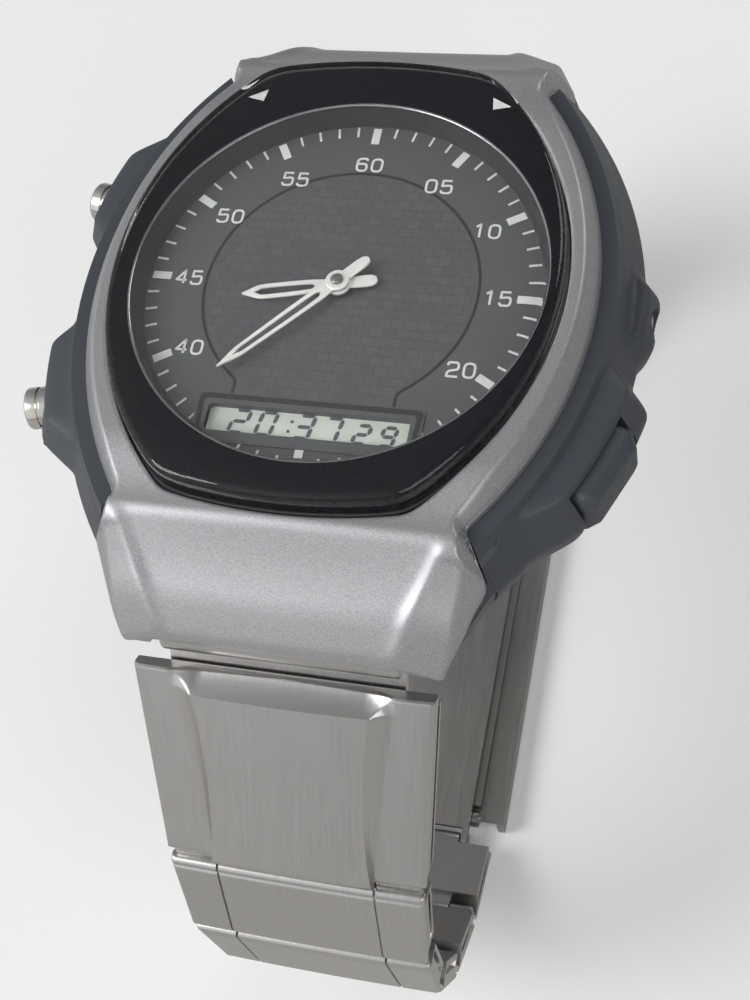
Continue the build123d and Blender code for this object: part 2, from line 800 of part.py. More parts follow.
def hand(length, width, angle, z, bore, hub):
    """Skeleton hand: pointed blade with a slot, short tail and round hub."""
    tip = width / 5
    belly = length * hand_belly_share
    blade = polygon([(-width / 3, 0), (-width / 2, belly), (-tip / 2, length), (tip / 2, length),
                     (width / 2, belly), (width / 3, 0), (width / 2, -hand_tail),
                     (-width / 2, -hand_tail)])
    slot = polygon([(-hand_slot / 3, hub), (-hand_slot / 2, belly), (0, length * hand_slot_share),
                    (hand_slot / 2, belly), (hand_slot / 3, hub)])
    body = extrude(blade - slot, amount=hand_thickness) + bore_along(hub, 0, hand_thickness)
    body -= Cylinder(bore, 4 * hand_thickness)
    return Pos(0, 0, z) * Rot(0, 0, -angle) * body


def hands():
    hour_angle = (shown_hour + minute_hand_angle / 360.0) * 30.0
    hour = hand(hour_hand_length, hour_hand_width, hour_angle, hour_hand_z,
                tube_radius + tube_wall + press_clear, hand_hub_radius)
    minute = hand(minute_hand_length, minute_hand_width, minute_hand_angle, minute_hand_z,
                  tube_radius - run_clear + press_clear, hand_hub_radius * minute_hub_share)
    minute += Pos(0, 0, minute_hand_z + hand_thickness + press_clear) * bore_along(tube_radius, 0,
                                                                                  hand_thickness)
    return hour, minute


def motor_parts(rotor_place):
    """Coil bobbin and stator of the stepping motor."""
    rotor_x, rotor_y = rotor_place
    z = board_top() + run_clear * 2
    coil_z = z + coil_radius + press_clear
    far_y = coil_y - coil_length / 2
    near_y = coil_y + coil_length / 2
    core = slab(coil_x - coil_core, coil_x + coil_core, far_y - stator_arm / 2, near_y + stator_arm / 2,
                coil_z - coil_core, coil_z + coil_core)
    arm = slab(rotor_x - stator_arm, coil_x + coil_core, rotor_y - stator_arm / 2, rotor_y + stator_arm / 2,
               z, z + stator_thickness)
    arm += slab(coil_x - coil_core, coil_x + coil_core, near_y + stator_arm / 4, rotor_y + stator_arm / 2,
                z, coil_z + coil_core)
    foot = slab(coil_x - stator_arm / 2, coil_x + stator_arm / 2, far_y - stator_arm / 2, far_y - pin_clear,
                z, coil_z + coil_core)
    stator = core + arm + foot
    stator -= Pos(rotor_x, rotor_y, z) * Cylinder(rotor_magnet_radius + stator_hole_gap, 4 * stator_thickness)
    coil = Pos(coil_x, coil_y, coil_z) * Rot(90, 0, 0) * Cylinder(coil_radius, coil_length - 2 * pin_clear)
    coil -= slab(coil_x - coil_core - press_clear, coil_x + coil_core + press_clear, far_y - overrun,
                 near_y + overrun, coil_z - coil_core - press_clear, coil_z + coil_core + press_clear)
    return coil, stator


def battery_and_board():
    """Battery cell, its clamp, circuit board, crystal can, module cover and sound disc."""
    low = module_bottom_z + board_gap
    high = low + battery_height - pin_clear
    battery = Pos(battery_x, battery_y, 0) * bore_along(battery_radius, low, high)
    battery = chamfer(battery.edges(), board_gap)
    clamp = Pos(battery_x, battery_y, 0) * (
        bore_along(battery_radius + 2 * cover_plate_thickness, low, low + battery_height - pin_clear)
        - bore_along(battery_radius + press_clear, low - overrun, low + battery_height + overrun))
    clamp -= slab(battery_x - overrun, battery_x + 2 * battery_radius, battery_y - battery_radius / 2,
                  battery_y + battery_radius / 2, 0, dial_top_z)
    board_z = board_top() - board_thickness
    board = bore_along(module_radius - board_margin, board_z, board_top())
    board -= Pos(battery_x, battery_y, 0) * bore_along(battery_radius / 2, 0, dial_top_z)
    place = Pos(crystal_can_length, 0, board_z - crystal_can_radius - press_clear)
    can = place * Rot(0, 90, 0) * Cylinder(crystal_can_radius, crystal_can_length)
    can = Rot(0, 0, crystal_can_turn) * can
    plate = bore_along(module_radius - module_wall - pin_clear, module_bottom_z, module_bottom_z
                       + cover_plate_thickness / 2)
    plate -= Pos(battery_x, battery_y, 0) * bore_along(battery_radius / 2, 0, dial_top_z)
    disc = bore_along(piezo_radius, back_thickness - back_dish_depth, back_thickness - back_dish_depth
                      + piezo_thickness)
    return battery, clamp, board, can, plate, disc


def stem_end(y, lean, reach_in):
    """Distance along the axis at which the stem comes out into the module space."""
    y0 = pusher_axis_y(y, lean)
    a = radians(lean)
    return -y0 * sin(a) + sqrt(reach_in ** 2 - (y0 * cos(a)) ** 2)


def steel_pusher(y, lean, radius, reach):
    """Round head on a stem, with a clip inside the case."""
    seat = head_seat(reach, pusher_head)
    inner = stem_end(y, lean, module_radius - clip_radius / 2) - clip_thickness
    head = bore_along(radius, reach - pusher_head, reach)
    head = chamfer(head.edges().sort_by(Axis.Z)[-1:], pusher_gap)
    body = head + bore_along(stem_radius, inner - clip_thickness, reach - pusher_head)
    groove = bore_along(clip_radius, inner, inner + clip_thickness)
    clip = groove - bore_along(stem_radius - press_clear, inner - overrun, inner + overrun)
    body -= groove - bore_along(stem_radius - press_clear * 2, inner - overrun, inner + overrun)
    return body, clip, seat


def pusher_spring(radius, seat):
    """Coil spring around the stem, between the pocket and the head."""
    turn_radius = (stem_radius + radius) / 2
    length = pusher_travel + pusher_gap - 2 * pin_clear
    tube = bore_along(turn_radius + spring_wire, seat + pin_clear, seat + length)
    return tube - bore_along(turn_radius - spring_wire, seat - overrun, seat + 2 * overrun)


def pusher_seal(seat):
    ring = Torus(stem_radius + seal_wire + run_clear, seal_wire - press_clear)
    return Pos(0, 0, seat - seal_wire - pusher_gap / 2) * ring


def pushers():
    """Each pusher with its clip and spring, and all the seals."""
    parts = {}
    seals = []
    for name, y, lean, z, radius, reach, left in pusher_table:
        body, clip, seat = steel_pusher(y, lean, radius, reach)
        spring = pusher_spring(radius, seat)
        seal = pusher_seal(seat)
        body, clip, spring, seal = [right_or_left(pusher_place(y, lean, z, item), left)
                                    for item in (body, clip, spring, seal)]
        parts["pusher_" + name] = Compound(children=[body, clip])
        parts["pusher_spring_" + name] = spring
        seals.append(seal)
    seat = head_seat(light_button_reach, light_button_depth)
    inner = stem_end(light_button_y, light_button_lean, module_radius - clip_radius / 2) - clip_thickness
    cap = Pos(0, 0, light_button_reach - light_button_depth / 2) * Box(light_button_height,
                                                                      light_button_length,
                                                                      light_button_depth)
    cap = chamfer(cap.faces().sort_by(Axis.Z)[-1].edges(), light_button_depth / 3)
    stem = bore_along(stem_radius, inner - clip_thickness, light_button_reach - light_button_depth)
    groove = bore_along(clip_radius, inner, inner + clip_thickness)
    clip = groove - bore_along(stem_radius - press_clear, inner - overrun, inner + overrun)
    neck = bore_along(stem_radius - press_clear * 2, inner - overrun, inner + overrun)
    cap = cap + stem - (groove - neck)
    spring = pusher_spring(pusher_radius, seat)
    seal = pusher_seal(seat)
    cap, clip, spring, seal = [pusher_place(light_button_y, light_button_lean, light_button_z, item)
                               for item in (cap, clip, spring, seal)]
    parts["light_button"] = Compound(children=[cap, clip])
    parts["pusher_spring_light"] = spring
    seals.append(seal)
    parts["pusher_seals"] = Compound(children=seals)
    return parts


def strand_places():
    """Pivot points (y, z) and slopes of one strand of the bracelet, at six o'clock."""
    y, z = -bar_y, bar_z
    places = []
    for k, slope in enumerate(link_slopes):
        length = link_pitch if k else end_link_length
        places.append((y, z, slope))
        y -= length * cos(radians(slope))
        z -= length * sin(radians(slope))
    return places, (y, z)


def link_place(y, z, slope, shape):
    """Set a link's own frame (Y along the link, Z outwards) at its upper pivot."""
    out = (0, -sin(radians(slope)), cos(radians(slope)))
    return Plane(origin=(0, y, z), x_dir=(-1, 0, 0), z_dir=out).location * shape


def link_half(k):
    """Half width at the upper end of short link k; the strand narrows towards the clasp."""
    steps = len(link_slopes) - 1
    return link_first_half + (link_last_half - link_first_half) * k / steps


def taper_prism(half0, half1, length):
    points = [(-half0, -overrun * 2), (half0, -overrun * 2), (half0, 0), (half1, length),
              (half1, length + overrun * 2), (-half1, length + overrun * 2), (-half1, length), (-half0, 0)]
    face = Pos(0, 0, -2 * overrun) * polygon(points)
    return extrude(face, amount=4 * overrun)


def lower_knuckles(half, length, height, eye=None):
    """Side knuckles with their web, or one barrel where a spring bar passes through."""
    inner = tongue_half + knuckle_gap
    outer = half - pin_inset
    bar = knuckle_radius
    if eye:
        body = tube_x(bar, eye, length, 0) + slab(-eye, eye, length - link_body_gap - press_clear, length,
                                                  -bar, bar / 3)
        return body - tube_x(bar_radius / 2 + press_clear, eye + overrun, length, 0)
    side = tube_x(bar, (outer - inner) / 2, length, 0) + slab(-(outer - inner) / 2, (outer - inner) / 2,
                                                             length - link_body_gap - press_clear, length,
                                                             -bar, bar / 3)
    side = Pos((outer + inner) / 2, 0, 0) * side
    body = side + mirror(side, about=Plane.YZ)
    return body - tube_x(pin_radius + press_clear, height + half, length, 0)


def link_pin(half, length):
    return tube_x(pin_radius, half - pin_inset, length, 0)


def short_link(k, eye=None):
    """Folded link: shell, body with side slots, tongue with barrel, and lower knuckles."""
    half0, half1, length = link_half(k), link_half(k + 1), link_pitch
    low, edge = -link_inner, link_outer - link_shell
    nose, tail = link_nose, length - link_tail
    arc_share = 1 - sqrt(0.5)
    profile = (Line((link_body_gap, low), (length - link_body_gap, low))
               + Line((length - link_body_gap, low), (length - link_body_gap, edge))
               + Line((length - link_body_gap, edge), (tail, edge)) + Line((tail, edge), (tail, link_outer))
               + Line((tail, link_outer), (nose + link_shell, link_outer))
               + ThreePointArc((nose + link_shell, link_outer),
                               (nose + link_shell * arc_share, link_outer - link_shell * arc_share),
                               (nose, edge))
               + Line((nose, edge), (link_body_gap, edge))
               + Line((link_body_gap, edge), (link_body_gap, low)))
    body = extrude(Plane.YZ.offset(-half0) * make_face(profile), amount=2 * half0)
    body &= taper_prism(half0, half1, length)
    slot = slab(half0 - fold_slot_depth, half0 + overrun, 2 * link_body_gap, length - 2 * link_body_gap,
                -fold_slot_height, 0)
    body -= slot + mirror(slot, about=Plane.YZ)
    floor = link_outer - seam_depth
    seam = slab(tongue_half, tongue_half + seam_width, 0, length, floor, link_outer + overrun)
    body -= seam + mirror(seam, about=Plane.YZ)
    tongue = tube_x(knuckle_radius, tongue_half) + slab(-tongue_half, tongue_half, 0, link_body_gap
                                                       + press_clear, -knuckle_radius, knuckle_radius / 3)
    tongue -= tube_x(pin_radius + pin_clear, tongue_half + overrun)
    return body + tongue + lower_knuckles(half1, length, link_outer, eye)


def end_link():
    """End link: lug barrel, side strips and the raised centre plate with scooped sides."""
    length = end_link_length
    half0, half1 = end_link_top_half, end_link_low_half
    low, edge = -link_inner, link_outer - link_shell
    tail = length - link_tail
    points = [(end_link_start, low), (length - link_body_gap, low), (length - link_body_gap, edge),
              (tail, edge), (tail, strip_height), (end_link_start, strip_height)]
    body = prism_x(points, half0) & taper_prism(half0, half1, length)
    slot = slab(half0 - 2 * fold_slot_depth, half0 + overrun, end_link_start + link_body_gap,
                length - 2 * link_body_gap, -fold_slot_height, 0)
    body -= slot + mirror(slot, about=Plane.YZ)
    waist_y = (plate_top_start + tail) / 2
    foot_level = strip_height / 3
    foot = make_face(Line((-plate_foot_half, plate_foot_start), (plate_foot_half, plate_foot_start))
                     + ThreePointArc((plate_foot_half, plate_foot_start),
                                     ((plate_foot_half + plate_low_half) / 2 - link_shell, waist_y),
                                     (plate_low_half + link_tail, tail))
                     + Line((plate_low_half + link_tail, tail), (-plate_low_half - link_tail, tail))
                     + ThreePointArc((-plate_low_half - link_tail, tail),
                                     (-(plate_foot_half + plate_low_half) / 2 + link_shell, waist_y),
                                     (-plate_foot_half, plate_foot_start)))
    crown = make_face(ThreePointArc((-plate_top_half, plate_top_start),
                                    (0, plate_top_start + link_shell), (plate_top_half, plate_top_start))
                      + ThreePointArc((plate_top_half, plate_top_start), (plate_waist_half, waist_y),
                                      (plate_low_half, tail))
                      + Line((plate_low_half, tail), (-plate_low_half, tail))
                      + ThreePointArc((-plate_low_half, tail), (-plate_waist_half, waist_y),
                                      (-plate_top_half, plate_top_start)))
    plate = loft([Pos(0, 0, foot_level) * foot, Pos(0, 0, plate_height) * crown], ruled=True)
    plate &= slab(-half0, half0, 0, length, edge, plate_height + overrun) \
        + slab(-half0, half0, 0, length - link_body_gap, 0, edge)
    barrel = tube_x(end_barrel_radius, end_barrel_half)
    web = slab(-end_barrel_half, end_barrel_half, 0, end_link_start + press_clear, -link_inner, foot_level)
    body = body + plate + barrel + web
    body -= tube_x(bar_radius + pin_clear, end_barrel_half + overrun)
    return body + lower_knuckles(half1, length, link_outer)


def spring_bar():
    bar = tube_x(bar_radius, end_barrel_half - pin_clear)
    return bar + tube_x(bar_tip_radius, end_barrel_half + bar_tip_length)


def clasp_parts(end_y, end_z):
    """Cover with side walls, outer blade and inner blade, folded flat between the strands.

    end_y is negative: the six o'clock strand ends at (end_y, end_z), the other one at -end_y.
    """
    layer = blade_thickness + blade_gap
    inner_z = end_z + blade_thickness / 2
    outer_z = inner_z - layer
    floor_z = outer_z - layer
    hinge_y, hinge_z = end_y + clasp_hinge_back, outer_z + blade_thickness / 2 - layer / 2
    fold_y, fold_z = -end_y - blade_hinge_back, inner_z + blade_thickness / 2 - layer / 2
    r = knuckle_radius
    wide = link_last_half + clasp_side_gap

    floor = slab(-wide - press_clear, wide + press_clear, hinge_y, -end_y - clasp_floor_short,
                 floor_z, floor_z + blade_thickness)
    wall = slab(wide, wide + clasp_wall, hinge_y - r, -end_y + clasp_wall_reach, floor_z,
                end_z + clasp_wall_top)
    wall = chamfer(wall.edges().filter_by(Axis.X), clasp_edge)
    wall += mirror(wall, about=Plane.YZ)
    cover = floor + wall
    for k in range(clasp_holes):
        cover -= tube_x(bar_tip_radius + pin_clear, 2 * wide, -end_y - k * clasp_hole_pitch, end_z)
    side = slab(blade_knuckle_half + knuckle_gap, blade_half, hinge_y, hinge_y + layer, floor_z, hinge_z)
    side += Pos((blade_knuckle_half + knuckle_gap + blade_half) / 2, 0, 0) * tube_x(
        r, (blade_half - blade_knuckle_half - knuckle_gap) / 2, hinge_y, hinge_z)
    cover -= slab(-blade_knuckle_half - knuckle_gap, blade_knuckle_half + knuckle_gap, hinge_y - overrun,
                  hinge_y + r + blade_gap, floor_z - overrun, hinge_z)
    cover += side + mirror(side, about=Plane.YZ)
    cover -= tube_x(pin_radius + press_clear, 2 * wide, hinge_y, hinge_z) & slab(
        -blade_half - overrun / 2, blade_half + overrun / 2, hinge_y - r, hinge_y + r, floor_z, end_z)
    cover_pin = tube_x(pin_radius, blade_half - pin_clear, hinge_y, hinge_z)

    outer = slab(-blade_half, blade_half, hinge_y + r + blade_gap, fold_y - r - blade_gap, outer_z,
                 outer_z + blade_thickness)
    outer += slab(-blade_knuckle_half, blade_knuckle_half, hinge_y, hinge_y + 2 * r, outer_z,
                  outer_z + blade_thickness)
    outer += tube_x(r, blade_knuckle_half, hinge_y, hinge_z)
    outer -= tube_x(pin_radius + pin_clear, blade_knuckle_half + overrun, hinge_y, hinge_z)
    edge = slab(blade_knuckle_half + knuckle_gap, blade_half, fold_y - 2 * r, fold_y, outer_z,
                outer_z + blade_thickness)
    edge += Pos((blade_knuckle_half + knuckle_gap + blade_half) / 2, 0, 0) * tube_x(
        r, (blade_half - blade_knuckle_half - knuckle_gap) / 2, fold_y, fold_z)
    outer += edge + mirror(edge, about=Plane.YZ)
    outer -= tube_x(pin_radius + press_clear, blade_half + overrun, fold_y, fold_z)
    outer -= slab(-blade_slot_half, blade_slot_half, hinge_y + 4 * r, fold_y - 4 * r, outer_z - overrun,
                  outer_z + overrun)
    fold_pin = tube_x(pin_radius, blade_half - pin_clear, fold_y, fold_z)

    inner = slab(-blade_ear_outer, blade_ear_outer, end_y + r + blade_gap, fold_y - r - blade_gap, inner_z,
                 inner_z + blade_thickness)
    inner += slab(-blade_knuckle_half, blade_knuckle_half, fold_y - 2 * r, fold_y, inner_z,
                  inner_z + blade_thickness)
    inner += tube_x(r, blade_knuckle_half, fold_y, fold_z)
    inner -= tube_x(pin_radius + pin_clear, blade_knuckle_half + overrun, fold_y, fold_z)
    ear = slab(blade_ear_inner, blade_ear_outer, end_y, end_y + 2 * blade_ear_radius, end_z,
               end_z + blade_ear_radius)
    ear += Pos((blade_ear_inner + blade_ear_outer) / 2, 0, 0) * tube_x(
        blade_ear_radius, (blade_ear_outer - blade_ear_inner) / 2, end_y, end_z)
    inner += ear + mirror(ear, about=Plane.YZ)
    inner -= tube_x(bar_radius / 2 + pin_clear, blade_ear_outer + overrun, end_y, end_z)
    return {"clasp_cover": Compound(children=[cover, cover_pin]),
            "clasp_outer_blade": Compound(children=[outer, fold_pin]),
            "clasp_inner_blade": inner}


def bracelet():
    """Both strands, their pins and spring bars, and the clasp."""
    parts = {}
    places, (end_y, end_z) = strand_places()
    last = len(places) - 1
    eye = blade_ear_inner - knuckle_gap * 2
    for k, (y, z, slope) in enumerate(places):
        half = link_half(k)
        solids = {}
        for side in ("6", "12"):
            length = link_pitch if k else end_link_length
            if k == 0:
                shape = end_link()
                pieces = [shape, link_pin(half, length)]
            elif k < last:
                pieces = [short_link(k - 1), link_pin(link_half(k), length)]
            else:
                barrel = eye if side == "6" else link_half(last) - pin_inset
                pieces = [short_link(k - 1, barrel)]
            solids[side] = [link_place(y, z, slope, piece) for piece in pieces]
        name = "end_link" if k == 0 else "link_%d" % k
        parts[name + "_6"] = Compound(children=solids["6"])
        parts[name + "_12"] = Compound(children=[mirror(piece, about=Plane.XZ) for piece in solids["12"]])
    bar = Pos(0, -bar_y, bar_z) * spring_bar()
    parts["spring_bar_6"] = bar
    parts["spring_bar_12"] = mirror(bar, about=Plane.XZ)
    parts["clasp_bar_6"] = tube_x(bar_radius / 2, blade_ear_outer, end_y, end_z)
    parts["clasp_bar_12"] = tube_x(bar_radius / 2, link_half(last) - pin_inset, -end_y, end_z)
    parts.update(clasp_parts(end_y, end_z))
    return parts


def main():
    os.makedirs("parts", exist_ok=True)
    parts = {}
    parts["case_body"], parts["bezel"] = case_parts()
    parts["crystal"] = glass()
    parts["crystal_gasket"] = glass_gasket()
    parts["mask_ring"] = mask_ring()
    parts["flange_ring"] = flange_ring()
    parts["dial_plate"] = dial_plate()
    parts["lcd_panel"] = display_panel()
    parts["light_panel"] = light_sheet()
    parts["lcd_connectors"] = Compound(children=display_rubbers())
    parts["case_back"] = case_back()
    parts["case_back_screws"] = Compound(children=back_screws())
    parts["back_gasket"] = back_gasket()
    parts["module_frame"] = module_frame()
    wheels, rotor_place = gear_train()
    parts.update(wheels)
    parts["hour_hand"], parts["minute_hand"] = hands()
    parts["motor_coil"], parts["motor_stator"] = motor_parts(rotor_place)
    names = ("battery_cell", "battery_clamp", "circuit_board", "quartz_can", "module_cover", "sound_disc")
    parts.update(zip(names, battery_and_board()))
    parts.update(pushers())
    parts.update(bracelet())
    for name, shape in parts.items():
        export_step(shape, "parts/" + name + ".step")
    print(len(parts), "nodes")
    places, end = strand_places()
    for y, z, slope in places + [(end[0], end[1], 180.0)]:
        print("pivot y %.3f z %.3f slope %.0f" % (y, z, slope))


main()
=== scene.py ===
import json
import math
import bmesh
import bpy
import numpy as np
from mathutils import Matrix, Vector


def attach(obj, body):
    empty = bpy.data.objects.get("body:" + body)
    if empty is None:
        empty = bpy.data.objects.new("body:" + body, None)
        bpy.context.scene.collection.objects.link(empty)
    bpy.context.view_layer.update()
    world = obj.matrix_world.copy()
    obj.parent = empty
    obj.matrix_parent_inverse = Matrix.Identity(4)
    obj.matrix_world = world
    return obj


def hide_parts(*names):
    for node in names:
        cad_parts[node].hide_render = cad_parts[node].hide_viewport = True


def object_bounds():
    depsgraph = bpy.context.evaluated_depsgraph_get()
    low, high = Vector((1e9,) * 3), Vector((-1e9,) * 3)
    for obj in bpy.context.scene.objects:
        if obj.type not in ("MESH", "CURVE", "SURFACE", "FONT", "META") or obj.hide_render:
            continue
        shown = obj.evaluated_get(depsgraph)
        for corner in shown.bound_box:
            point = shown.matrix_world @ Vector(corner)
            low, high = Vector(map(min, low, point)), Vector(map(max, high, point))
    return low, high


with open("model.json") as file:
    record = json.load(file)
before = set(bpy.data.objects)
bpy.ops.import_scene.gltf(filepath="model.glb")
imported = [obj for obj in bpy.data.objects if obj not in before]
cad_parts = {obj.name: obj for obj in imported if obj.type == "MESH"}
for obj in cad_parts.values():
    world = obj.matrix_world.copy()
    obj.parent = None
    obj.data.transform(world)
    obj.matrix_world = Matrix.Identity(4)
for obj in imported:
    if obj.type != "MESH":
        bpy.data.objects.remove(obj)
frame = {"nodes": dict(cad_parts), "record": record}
cadLow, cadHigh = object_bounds()
nodes = frame["nodes"]
mm = 0.001
print("frame loaded")


# meshes from grids of points, in millimetres

def addObject(name, data):
    # an object in the scene that shows the given mesh, camera or lamp
    obj = bpy.data.objects.new(name, data)
    bpy.context.scene.collection.objects.link(obj)
    return obj


def gridFaces(rows, cols, wrapRows=False, wrapCols=False, start=0):
    # quads between neighbouring grid points, with the last row or column joined to the first on request
    r = np.arange(rows if wrapRows else rows - 1)
    c = np.arange(cols if wrapCols else cols - 1)
    r, c = np.meshgrid(r, c, indexing="ij")
    r2, c2 = (r + 1) % rows, (c + 1) % cols
    quads = np.stack([r * cols + c, r2 * cols + c, r2 * cols + c2, r * cols + c2], axis=-1)
    return (quads.reshape(-1, 4) + start).tolist()


def addGrids(name, grids, wrapRows=False, wrapCols=False):
    # several grids of points in one smooth shaded mesh
    faces, start = [], 0
    for g in grids:
        faces += gridFaces(*g.shape[:2], wrapRows, wrapCols, start)
        start += g.shape[0] * g.shape[1]
    mesh = bpy.data.meshes.new(name)
    mesh.from_pydata((np.vstack([g.reshape(-1, 3) for g in grids]) * mm).tolist(), [], faces)
    mesh.polygons.foreach_set("use_smooth", np.ones(len(mesh.polygons), dtype=bool))
    mesh.update()
    return addObject(name, mesh)


def outwards(obj):
    # weld the seams and poles, then turn the faces of the closed shape outwards
    work = bmesh.new()
    work.from_mesh(obj.data)
    bmesh.ops.remove_doubles(work, verts=work.verts, dist=0.001 * mm)
    bmesh.ops.recalc_face_normals(work, faces=work.faces)
    work.to_mesh(obj.data)
    work.free()
    return obj


def finishPiece(obj, material, body, covers=()):
    # material, the body that it rides, and the CAD nodes that it stands for
    obj.data.materials.append(material)
    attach(obj, body)
    if covers:
        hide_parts(*covers)


def closedPiece(name, grids, material, body, covers=(), sharp=None, wrapRows=False):
    # a shape whose grids close round their columns; edges steeper than the sharp angle in degrees stay crisp
    obj = outwards(addGrids(name, grids, wrapRows, True))
    if sharp:
        obj.data.set_sharp_from_angle(angle=math.radians(sharp))
    finishPiece(obj, material, body, covers)


def printAndShadeLayer(name, grids, material, thickness=0.02):
    # a flat shaded layer with a real thickness, grown downwards from its face, for the prints and for the painted
    # shade along the dial's step
    obj = addGrids(name, grids)
    obj.data.polygons.foreach_set("use_smooth", np.zeros(len(obj.data.polygons), dtype=bool))
    solid = obj.modifiers.new("thickness", "SOLIDIFY")
    solid.thickness = thickness * mm
    solid.offset = -1
    finishPiece(obj, material, "case")


def smoothStep(t):
    # from 0 to 1 and level at both ends: t t (3 - 2 t)
    t = np.clip(t, 0, 1)
    return t * t * (3 - 2 * t)


def smoothMin(a, b, r):
    # the lower of two heights, with a round of about r where they cross
    h = np.clip(0.5 + 0.5 * (b - a) / r, 0, 1)
    return b * (1 - h) + a * h - r * h * (1 - h)


def edgeDrop(d, r):
    # quarter circle: falls by r at d = 0 and ends level at d = r
    return r - np.sqrt(np.maximum(r * r - (r - np.clip(d, 0, r)) ** 2, 0))


def quarterIn(r, count):
    # steps along a quarter circle of radius r: r (1 - cos a)
    return r * (1 - np.cos(np.linspace(0, np.pi / 2, count)))


def rimFall(x, half, rim):
    # height lost within rim of a long edge: 0.8 of a quarter circle
    return rim * 0.8 * (1 - np.sin(np.arccos(np.clip((np.abs(x) - half + rim) / rim, 0, 1))))


def middleRing(ring):
    # every point of a ring drawn in to its middle
    return np.repeat(ring.mean(0)[None, None], len(ring), axis=1)


def atHeight(flat, z):
    # flat points (x, y) set at one height
    return np.concatenate([flat, np.full((*flat.shape[:-1], 1), z)], axis=-1)


def along(points, count):
    # evenly spaced points on a closed outline
    p = np.vstack([points, points[:1]])
    step = np.hypot(*np.diff(p, axis=0).T)
    s = np.concatenate([[0], np.cumsum(step)])
    t = np.linspace(0, s[-1], count, endpoint=False)
    return np.stack([np.interp(t, s, p[:, 0]), np.interp(t, s, p[:, 1])], axis=1)


def softened(points, spread):
    # a running average along a closed outline, which rounds its corners
    kernel = np.exp(-0.5 * (np.arange(-3 * spread, 3 * spread + 1) / spread) ** 2)
    kernel /= kernel.sum()
    n = len(points)
    index = (np.arange(n)[:, None] + np.arange(-3 * spread, 3 * spread + 1)[None]) % n
    return (points[index] * kernel[None, :, None]).sum(1)


def offsetOutline(points, inset):
    # each point moved towards the inside of the outline, square to it
    ahead = np.roll(points, -1, axis=0) - np.roll(points, 1, axis=0)
    normal = np.stack([-ahead[:, 1], ahead[:, 0]], axis=1)
    normal /= np.linalg.norm(normal, axis=1)[:, None]
    return points + normal * inset


def arcPoints(a, b, c, count):
    # circle through three points, from a over b to c
    a, b, c = (complex(*q) for q in (a, b, c))
    w = (c - a) / (b - a)
    centre = (b - a) * (w - abs(w) ** 2) / (2j * w.imag) + a
    start, middle, end = (np.angle(q - centre) for q in (a, b, c))
    sweep = (end - start) % (2 * np.pi)
    if (middle - start) % (2 * np.pi) > sweep:
        sweep -= 2 * np.pi
    t = centre + abs(a - centre) * np.exp(1j * (start + sweep * np.linspace(0, 1, count, endpoint=False)))
    return np.stack([t.real, t.imag], axis=1)


# materials

def addNode(tree, kind, **values):
    # a shader node with its sockets set; a space in a socket's name is written as _
    node = tree.nodes.new("ShaderNode" + kind)
    for socket, value in values.items():
        node.inputs[socket.replace("_", " ")].default_value = value
    return node


def addMix(tree, **colours):
    # colour A where the factor is 0 and B where it is 1
    node = tree.nodes.new("ShaderNodeMix")
    node.data_type = "RGBA"
    for socket, colour in colours.items():
        node.inputs[socket].default_value = (*colour, 1)
    return node


def addRamp(tree, stops):
    # colour ramp through stops of (position, colour)
    node = tree.nodes.new("ShaderNodeValToRGB")
    elements = node.color_ramp.elements
    for k, (position, colour) in enumerate(stops):
        stop = elements[k] if k < 2 else elements.new(position)
        stop.position, stop.color = position, (*colour, 1)
    return node


def wire(tree, *links):
    # each link is (node, its output, node, its input)
    for source, output, target, socket in links:
        tree.links.new(source.outputs[output], target.inputs[socket])


def newMaterial(name, colour, metallic=0.0, roughness=0.5, **others):
    # a principled material, with its tree and its shader node
    material = bpy.data.materials.new(name)
    material.use_nodes = True
    shader = material.node_tree.nodes["Principled BSDF"]
    values = {"Base Color": (*colour, 1), "Metallic": metallic, "Roughness": roughness, **others}
    for socket, value in values.items():
        shader.inputs[socket.replace("_", " ")].default_value = value
    return material, material.node_tree, shader


def grained(name, colour, metallic, roughness, scale, rough, colours=(), bump=(), stretch=(1, 1, 1), detail=3):
    # noise on the object's own coordinates, drawn out into lines where the stretch is small, spreads the roughness;
    # where given, it also blends two colours and raises a relief of (strength, depth in millimetres)
    material, tree, shader = newMaterial(name, colour, metallic, roughness)
    coords, mapping = addNode(tree, "TexCoord"), addNode(tree, "Mapping", Scale=stretch)
    noise = addNode(tree, "TexNoise", Scale=scale, Detail=detail)
    limits = addNode(tree, "MapRange", From_Min=0.3, From_Max=0.7, To_Min=rough[0], To_Max=rough[1])
    wire(tree, (coords, "Object", mapping, "Vector"), (mapping, "Vector", noise, "Vector"),
         (noise, "Fac", limits, "Value"), (limits, "Result", shader, "Roughness"))
    if colours:
        ramp = addRamp(tree, zip((0.35, 0.65), colours))
        wire(tree, (noise, "Fac", ramp, "Fac"), (ramp, "Color", shader, "Base Color"))
    if bump:
        relief = addNode(tree, "Bump", Strength=bump[0], Distance=bump[1] * mm)
        wire(tree, (noise, "Fac", relief, "Height"), (relief, "Normal", shader, "Normal"))
    return material


def plainSteel(name, colour, roughness):
    # one colour, with the roughness alone spread by the noise
    return grained(name, colour, 1.0, roughness, 900, (roughness * 0.8, roughness * 1.3))


def mottled(name, colour, metallic, roughness, scale=900, spread=0.08, bump=0.05, depth=0.01, stretch=(1, 1, 1),
            rough=()):
    # colour (1 - spread) to colour (1 + spread) over the noise
    colours = [tuple(c * share for c in colour) for share in (1 - spread, 1 + spread)]
    rough = rough or (roughness * 0.8, roughness * 1.25)
    return grained(name, colour, metallic, roughness, scale, rough, colours, (bump, depth), stretch)


def printAndShadeInk(name, colour, roughness=0.4):
    # a matt ink with a fine, faint grain, for the prints and for the dark colours painted as shade round the display
    return mottled(name, colour, 0.0, roughness, 1600, 0.05, 0.03)


